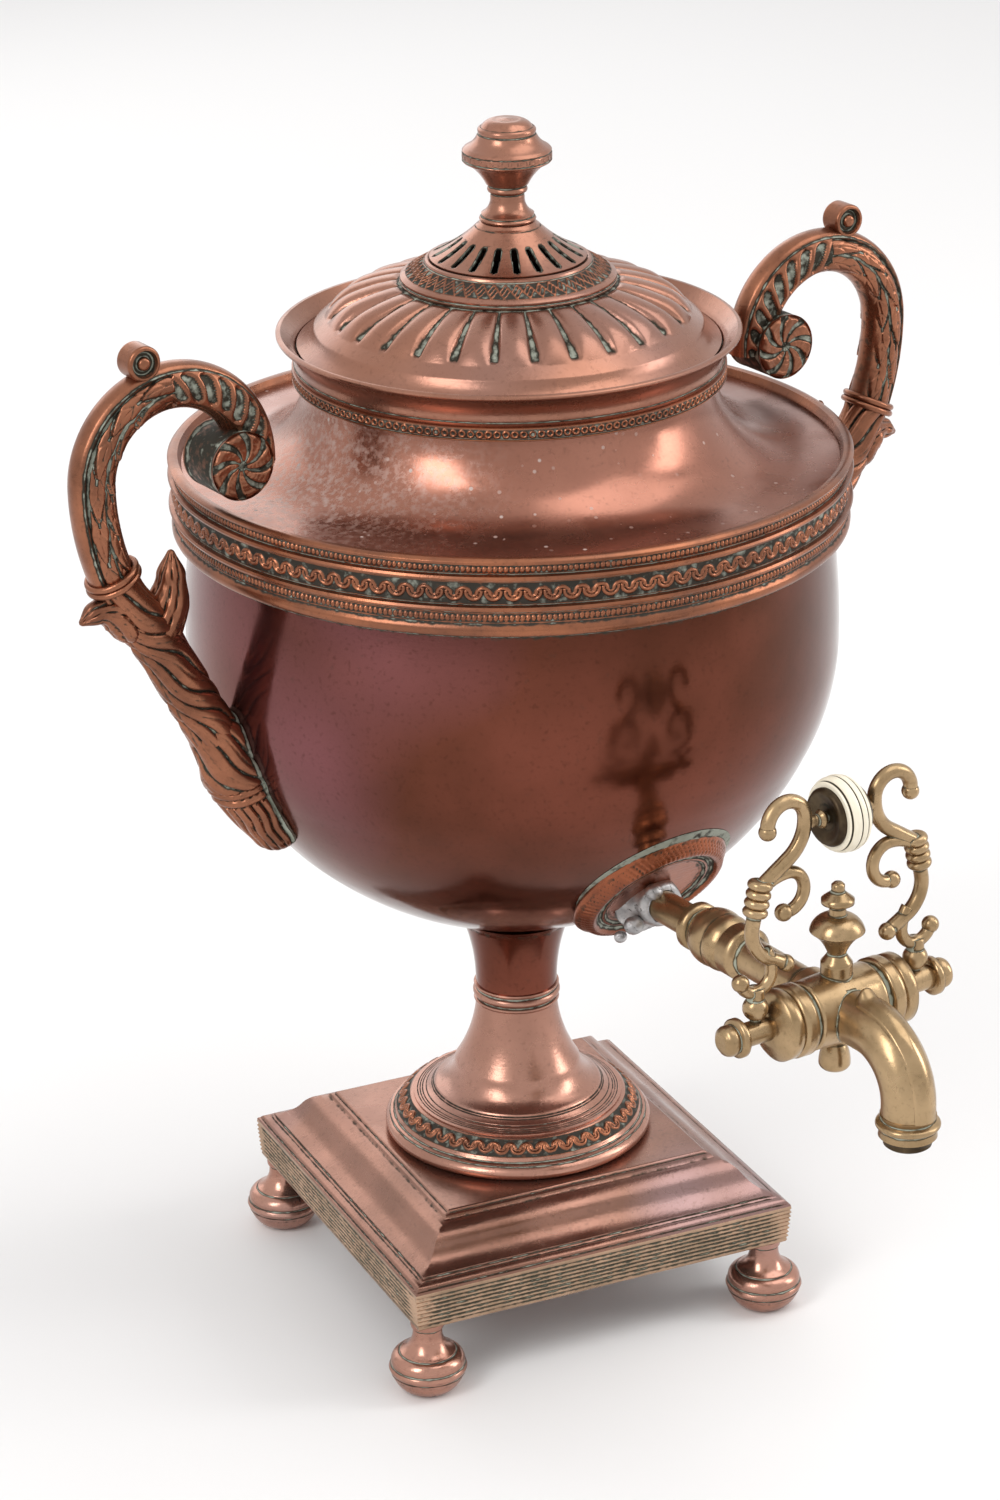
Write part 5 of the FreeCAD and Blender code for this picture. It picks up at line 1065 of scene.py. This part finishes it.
# %% Calyx and arm skins
def fluted(along, degrees, pitch, slant, depth, seed):
    """Slanting rounded folds with a deep line between them and a shallow one inside each."""
    wave = 0.25 * math.sin(along * 0.21 + seed) + 0.12 * math.sin(degrees * 0.05 + seed * 2)
    part = ((along / pitch) + abs(degrees) / slant + wave) % 1.0
    deep = 1 - smooth_step(min(part, 1 - part) / 0.13)
    fine = 1 - smooth_step(abs(part - 0.46) / 0.08)
    swell = math.sin(math.pi * part) ** 0.6
    return depth * (swell - 1) - 0.55 * depth * deep - 0.28 * fine, 0.78 * deep + 0.30 * fine


def arm_skin(along, degrees):
    rise, patina = fluted(along, degrees, pitch=12.5, slant=-50.0, depth=1.15, seed=0.6)
    ridge = 1 - smooth_step(abs(abs(degrees) - 20) / 7)
    swell = 0.9 * smooth_step((along - 8) / 14)
    return 7.9 + swell + rise - 0.3 * ridge, max(patina * 0.92, 0.4 * ridge)


def tip_skin(lengths, sizes, seed):
    def skin(along, degrees):
        size = sizes[-1]
        for a0, a1, r0, r1 in zip(lengths, lengths[1:], sizes, sizes[1:]):
            if a0 <= along <= a1:
                size = r0 + (r1 - r0) * smooth_step((along - a0) / (a1 - a0))
                break
        rise, patina = fluted(along * 0.30, degrees * 1.5, 7.0, 62.0, 0.13 * size, seed)
        return size + rise, 0.85 * patina
    return skin


def calyx():
    outer = path_points((145.6, 281.0), 52, [("go", 6.0), ("turn", 26.0, -18), ("turn", 9.0, -58),
                                             ("go", 5.4)], STEP)
    bm = skin_tube(outer, STEP, tip_skin((0, 8, 15, 22, 29), (6.6, 7.6, 6.9, 4.0, 0.9), 0.4),
                   sides=64, flat=1.06)
    inner = path_points((144.5, 274.0), 122, [("go", 8.0), ("turn", 40.0, -30), ("go", 8.0)], STEP)
    add_to(bm, skin_tube(inner, STEP, tip_skin((0, 9, 18, 28, 38), (6.8, 7.6, 7.2, 4.9, 0.9), 2.1),
                         sides=64, flat=1.06))
    for lift, reach in ((0.6, 8.5), (-1.5, 8.7)):
        bead = [(reach + 1.15 * math.cos(a), 1.15 * math.sin(a))
                for a in (TAU * i / 16 for i in range(16))]
        add_to(bm, turned_about(bead, (156.0 + 0.35 * lift, 0, 304.0 + lift), (0.46, 0, 1), 96))
    return bm


arm_places = path_points((156.18, 305.04), -110,
                         [("go", 1.0), ("turn", 60.0, -13), ("go", 14.0), ("turn", 90.0, 5),
                          ("go", 37.0)], STEP)

# %% [markdown]
# At the foot of the handle is a rounded leaf, then a bright raised band with a small scroll at
# the bowl's side, and below it a fan of flutes that closes to a point.

# %% Foot leaf skin
BAND_AT = 19.5
LEAF_START = 8.6
foot_leaf_places = path_points((123.3, 247.9), -114,
                               [("go", 22.6), ("turn", 90.0, -12), ("go", 20.5)], STEP)


def foot_leaf_skin(along, degrees):
    along -= LEAF_START
    turn = abs(degrees)
    slope = along - (turn - 60) * 0.035
    past = slope - BAND_AT
    if past < -1.2:
        rise, patina = fluted(along, degrees, pitch=13.5, slant=-48.0, depth=1.0, seed=2.2)
        rise += 0.9 * smooth_step((slope - 6) / 11)
        patina *= 0.9
    elif past < 5.4:
        first = math.sqrt(max(0.0, 1 - ((past - 0.4) / 1.5) ** 2))
        second = math.sqrt(max(0.0, 1 - ((past - 3.6) / 1.6) ** 2))
        top = max(first, second)
        rise, patina = -1.1 + 1.65 * top, 0.85 * (1 - smooth_step(top * 1.6))
    else:
        part = (turn / 18 + past * 0.055 + 0.15 * math.sin(past * 0.4)) % 1.0
        deep = 1 - smooth_step(min(part, 1 - part) / 0.18)
        rise = -0.7 + 0.9 * math.sin(math.pi * part) ** 0.5 - 0.7 * deep
        patina = 0.62 * deep
    rise += 1.5 * math.sin(math.pi * clamped((along + 4) / 46))
    return 9.5 + rise, patina


def small_boss(side):
    """The little scroll at the end of the bright band."""
    boss = outline_points([(0, 0.9), (1.0, 0.8), (1.3, 0.1), (2.0, 0.1), (2.5, 0.9), (3.1, 0.9),
                           (3.6, 0.0), (3.6, -3.0), (0, -3.0)], 0.4)
    return turned_about(boss, (107.4, side * 9.3, 221.6), (0.35, side, -0.1), 64)


def mirrored(bm):
    bmesh.ops.scale(bm, vec=(-1, 1, 1), verts=bm.verts)
    bmesh.ops.reverse_faces(bm, faces=bm.faces)


# %% [markdown]
# Both handles are now put together. The lower parts lie on the bowl, so every vertex inside the
# bowl is pushed out to its surface, and that seam is given pale verdigris.

# %% Handles
SEAM_TOP = 0.286


def seam_patina(bm):
    layer = patina_layer(bm)
    for v in bm.verts:
        gap = from_axis(v.co) / MM - bowl_radius(v.co.z / MM)
        if v.co.z < SEAM_TOP:
            v[layer] = max(v[layer], 1.0 - smooth_step((gap - 0.9) / 1.6))


for side in ("right", "left"):
    upper = skin_tube(scroll_places, STEP, scroll_skin, (False, False), 144)
    add_to(upper, volute_and_curl())
    add_to(upper, calyx())
    add_to(upper, skin_tube(arm_places, STEP, arm_skin, (False, False), 112))
    keep_off_bowl(upper)
    lower = skin_tube(foot_leaf_places, STEP, foot_leaf_skin, (True, True), 128)
    add_to(lower, small_boss(-1))
    add_to(lower, small_boss(1))
    keep_off_bowl(lower)
    for bm in (upper, lower):
        seam_patina(bm)
        if side == "left":
            mirrored(bm)
    for name, bm, node in (("scroll", upper, "scroll"), ("foot_leaf", lower, "leaf")):
        piece(f"{name}_{side}", bm, cast_copper, (f"handle_{node}_{side}",), 60)
cad_copy("handle_rivets", cast_copper, "rivets")

# %% [markdown]
# The escutcheon covers the hole where the tap enters the bowl. Its rim is chased with short
# slanting cuts. The tap's tail was repaired with soft solder, which lies in grey lumps.

# %% Escutcheon and solder
PLATE_PLACE = (0, -80.665, 184.917)
PLATE_AXIS = (0, -0.788, -0.616)
RIM_CUTS = 84
CUTS_FROM, CUTS_TO = 24.2, 28.2


def rim_cuts(p):
    r = from_axis(p)
    if not CUTS_FROM < r < CUTS_TO or p.z < -0.5:
        return None
    part = zigzag(turns(p, RIM_CUTS) + p.z * 0.28)
    cut = smooth_step((part - 0.74) / 0.2)
    return -0.35 * cut, 0.42 * cut


plate = turned_about(outline_points([
    (0, -6), (26.5, -6), (27.2, -1.0), (28.1, 0.2, -0.9), (28.0, 3.2), (26.2, 5.4, -0.5),
    (23.4, 6.5), (22.8, 6.2), (21.8, 5.2), (20.6, 4.9), (20.2, 5.5), (19.2, 5.6), (18.8, 5.0),
    (17.2, 4.6), (0, 4.4)], 0.6), PLATE_PLACE, PLATE_AXIS, 336, rim_cuts)
plate_layer = patina_layer(plate)
for v in plate.verts:
    inside = (bowl_radius(v.co.z / MM) + 0.1) * MM - from_axis(v.co)
    v[plate_layer] = max(v[plate_layer], 0.95 * smooth_step(inside / MM / 0.8))
keep_off_bowl(plate, 0.15)
piece("escutcheon_plate", plate, rim_copper, ("tap_escutcheon",), 50)


def lumps(p):
    place = Vector((p.x, p.y, p.z)) * 0.16 + Vector((3, 1, 0))
    big = noise.noise(place)
    small = noise.noise(place * 3.1)
    crack = 1 - smooth_step(abs(noise.noise(place * 1.7)) / 0.05)
    return 0.9 * big + 0.10 * small - 0.2 * crack, 0.42 * crack


collar = turned_about(outline_points([
    (5.7, -8), (11.5, -8), (13.0, 0.5, 1.6), (8.4, 7.6, -0.6), (6.7, 10.8), (5.7, 11)], 0.45),
    (0, -79.065, TAP_LEVEL), (0, -1, 0), 140, lumps)
for x, y, z, size in ((-9.8, -86.6, 172.6, 3.4), (-13.6, -84.4, 168.6, 2.2),
                      (-3.5, -89.5, 184.5, 3.0)):
    ball = bmesh.new()
    bmesh.ops.create_icosphere(ball, subdivisions=4, radius=size * MM)
    carve(ball, lumps)
    bmesh.ops.translate(ball, vec=Vector((x, y, z)) * MM, verts=ball.verts)
    add_to(collar, ball)
keep_off_bowl(collar, 0.15)
piece("solder_lumps", collar, soft_solder, ("tap_solder",), 60)

# %% [markdown]
# The tap is exact in CAD, so its parts are copied and shaded. The spout also has a raised panel
# along its top, which rises to a round nose over the barrel.

# %% Tap body
PANEL_FROM = 193.0
SPOUT_BEND = 19.5
OUTLET_REACH = 221.8
for node in ("tap_tail", "tap_body", "spout_nozzle", "tap_finial", "tap_pendant",
             "barrel_cap_right", "barrel_cap_left"):
    cad_copy(node, cast_brass, f"cast_{node}", 0.8, 30)
outlet = spun(outline_points([
    (5.0, 149.4), (8.1, 149.4), (8.5, 148.3, -0.5), (7.8, 145.6), (7.2, 145.1),
    (5.0, 145.1)], 0.6), 64)
bmesh.ops.translate(outlet, vec=(0, -OUTLET_REACH * MM, 0), verts=outlet.verts)
piece("outlet_sleeve", outlet, black_brass, ("spout_outlet",))


def panel_skin(along, degrees):
    turn = abs(degrees)
    half = 31 - 5 * smooth_step((along - 10) / 26)
    edge = smooth_step((half - turn) / 4 + 0.5)
    start = smooth_step((along - 2.5 - 0.003 * turn ** 2) / 4.0)
    flat = 1.5 * (1 - smooth_step(turn / half)) * 0.35
    nose = 2.6 * (1 - smooth_step(abs(along - 5.2) / 5.5)) * smooth_step((26 - turn) / 22)
    rise = (1.0 + flat) * edge * start + nose * start
    line = smooth_step((6 - abs(turn - half - 4)) / 6) * start
    return 8.45 + 0.2 * start + rise, 0.40 * line


spout_places = path_points((PANEL_FROM, TAP_LEVEL), 0,
                           [("go", TAP_REACH + 18.3 - PANEL_FROM), ("turn", SPOUT_BEND, -90),
                            ("go", 2.6)], STEP)
panel = skin_tube(spout_places, STEP, panel_skin, (False, False), 120)
bmesh.ops.rotate(panel, cent=(0, 0, 0), matrix=Matrix.Rotation(-TAU / 4, 3, "Z"), verts=panel.verts)
piece("spout_panel", panel, cast_brass, sharp=60)

# %% [markdown]
# The lever turns the plug. Its two arms, knobs and spindle are copies of the CAD parts. The grip
# is a turned bone disc with three dark grooves between dished metal caps.

# %% Lever and grip
GRIP_LEVEL = 245.8
GROOVES = (-3.45, -0.25, 2.2)
for node in ("tap_plug", "shaft_knob_right", "shaft_knob_left", "lever_arm_right", "lever_arm_left",
             "grip_spindle"):
    cad_copy(node, cast_brass, f"lever_{node}", 0.8, 30, "tap_lever")
for side in ("right", "left"):
    cad_copy(f"grip_cap_{side}", black_brass, f"dished_cap_{side}", body="tap_lever")
disc = turned_about(outline_points([
    (2.0, -4.4), (10.9, -4.4), (11.3, -4.0), (11.0, -3.6), (11.0, -3.3), (11.8, -3.1, -0.25),
    (12.3, -0.5), (11.7, -0.4), (11.7, -0.1), (12.4, 0.0, -0.2), (12.3, 1.9), (11.8, 2.0),
    (11.7, 2.4), (12.1, 2.5, -0.2), (11.4, 3.9), (10.9, 4.4), (2.0, 4.4)], 0.3),
    (0, -TAP_REACH, GRIP_LEVEL), (1, 0, 0), 128)
disc_layer = patina_layer(disc)
for v in disc.verts:
    reach = math.hypot(v.co.y / MM + TAP_REACH, v.co.z / MM - GRIP_LEVEL)
    across = v.co.x / MM
    groove = min(abs(across - place) for place in GROOVES)
    v[disc_layer] = 0.9 if groove < 0.22 and reach > 10 else 0.0
piece("bone_disc", disc, turned_bone, ("grip_disc",), 30, "tap_lever")

# %% [markdown]
# Parts inside or below the urn are copies of their nodes: the tinned sleeve, its cap, the iron,
# and the plates and nuts under the plinth.

# %% Inner parts
cad_copy("heater_sleeve", tinned, "sleeve_tube")
cad_copy("sleeve_cap", tinned, "sleeve_lid", body="sleeve_cap")
cad_copy("heater_iron", black_iron, "iron_slug", body="heater_iron")
cad_copy("corner_plates", black_iron, "plates")
cad_copy("foot_nuts", black_iron, "nuts")

# %% [markdown]
# The floor is plain and pale, and the light is that of a plain studio: a large soft lamp high at
# the left, weaker ones at the right and behind, a wide one above and pale surroundings. What the
# camera and the metal see round the urn is white.

# %% Floor and light
floor_mesh = bpy.data.meshes.new("floor")
bm = bmesh.new()
bmesh.ops.create_grid(bm, x_segments=1, y_segments=1, size=6.0)
bm.to_mesh(floor_mesh)
bm.free()
floor = bpy.data.objects.new("floor", floor_mesh)
floor_finish = Nodes("pale_floor")
floor_finish.shader.inputs["Base Color"].default_value = (0.84, 0.83, 0.82, 1)
floor_finish.shader.inputs["Roughness"].default_value = 0.8
floor_mesh.materials.append(floor_finish.material)
bpy.context.scene.collection.objects.link(floor)
LAMP_AIM = Vector((0, 0, 0.22))


def soft_lamp(name, place, size, power):
    data = bpy.data.lights.new(name, "AREA")
    data.shape = "RECTANGLE"
    data.size, data.size_y = size
    data.energy = power
    lamp = bpy.data.objects.new(name, data)
    lamp.location = place
    lamp.rotation_euler = (LAMP_AIM - Vector(place)).to_track_quat("-Z", "Y").to_euler()
    bpy.context.scene.collection.objects.link(lamp)


soft_lamp("key_lamp", (-1.7, -0.5, 1.5), (0.7, 1.3), 18)
soft_lamp("side_lamp", (1.5, -0.9, 0.9), (0.5, 1.1), 10)
soft_lamp("top_lamp", (0.75, -0.5, 2.0), (1.5, 1.3), 11)
soft_lamp("back_lamp", (0.3, 1.9, 1.0), (1.8, 1.0), 6)

world = bpy.data.worlds.new("studio")
world.use_nodes = True
bpy.context.scene.world = world
tree = world.node_tree
background = tree.nodes["Background"]
rays = tree.nodes.new("ShaderNodeLightPath")
seen = tree.nodes.new("ShaderNodeMix")
seen.data_type = "RGBA"
light_side, seen_side = seen.inputs[6], seen.inputs[7]
light_side.default_value = (0.80, 0.80, 0.81, 1)
seen_side.default_value = (1, 1, 1, 1)
either = rays.outputs["Is Camera Ray"]
for ray in ("Is Glossy Ray", "Is Transmission Ray"):
    added = tree.nodes.new("ShaderNodeMath")
    added.use_clamp = True
    tree.links.new(either, added.inputs[0])
    tree.links.new(rays.outputs[ray], added.inputs[1])
    either = added.outputs[0]
tree.links.new(either, seen.inputs[0])
tree.links.new(seen.outputs[2], background.inputs["Color"])
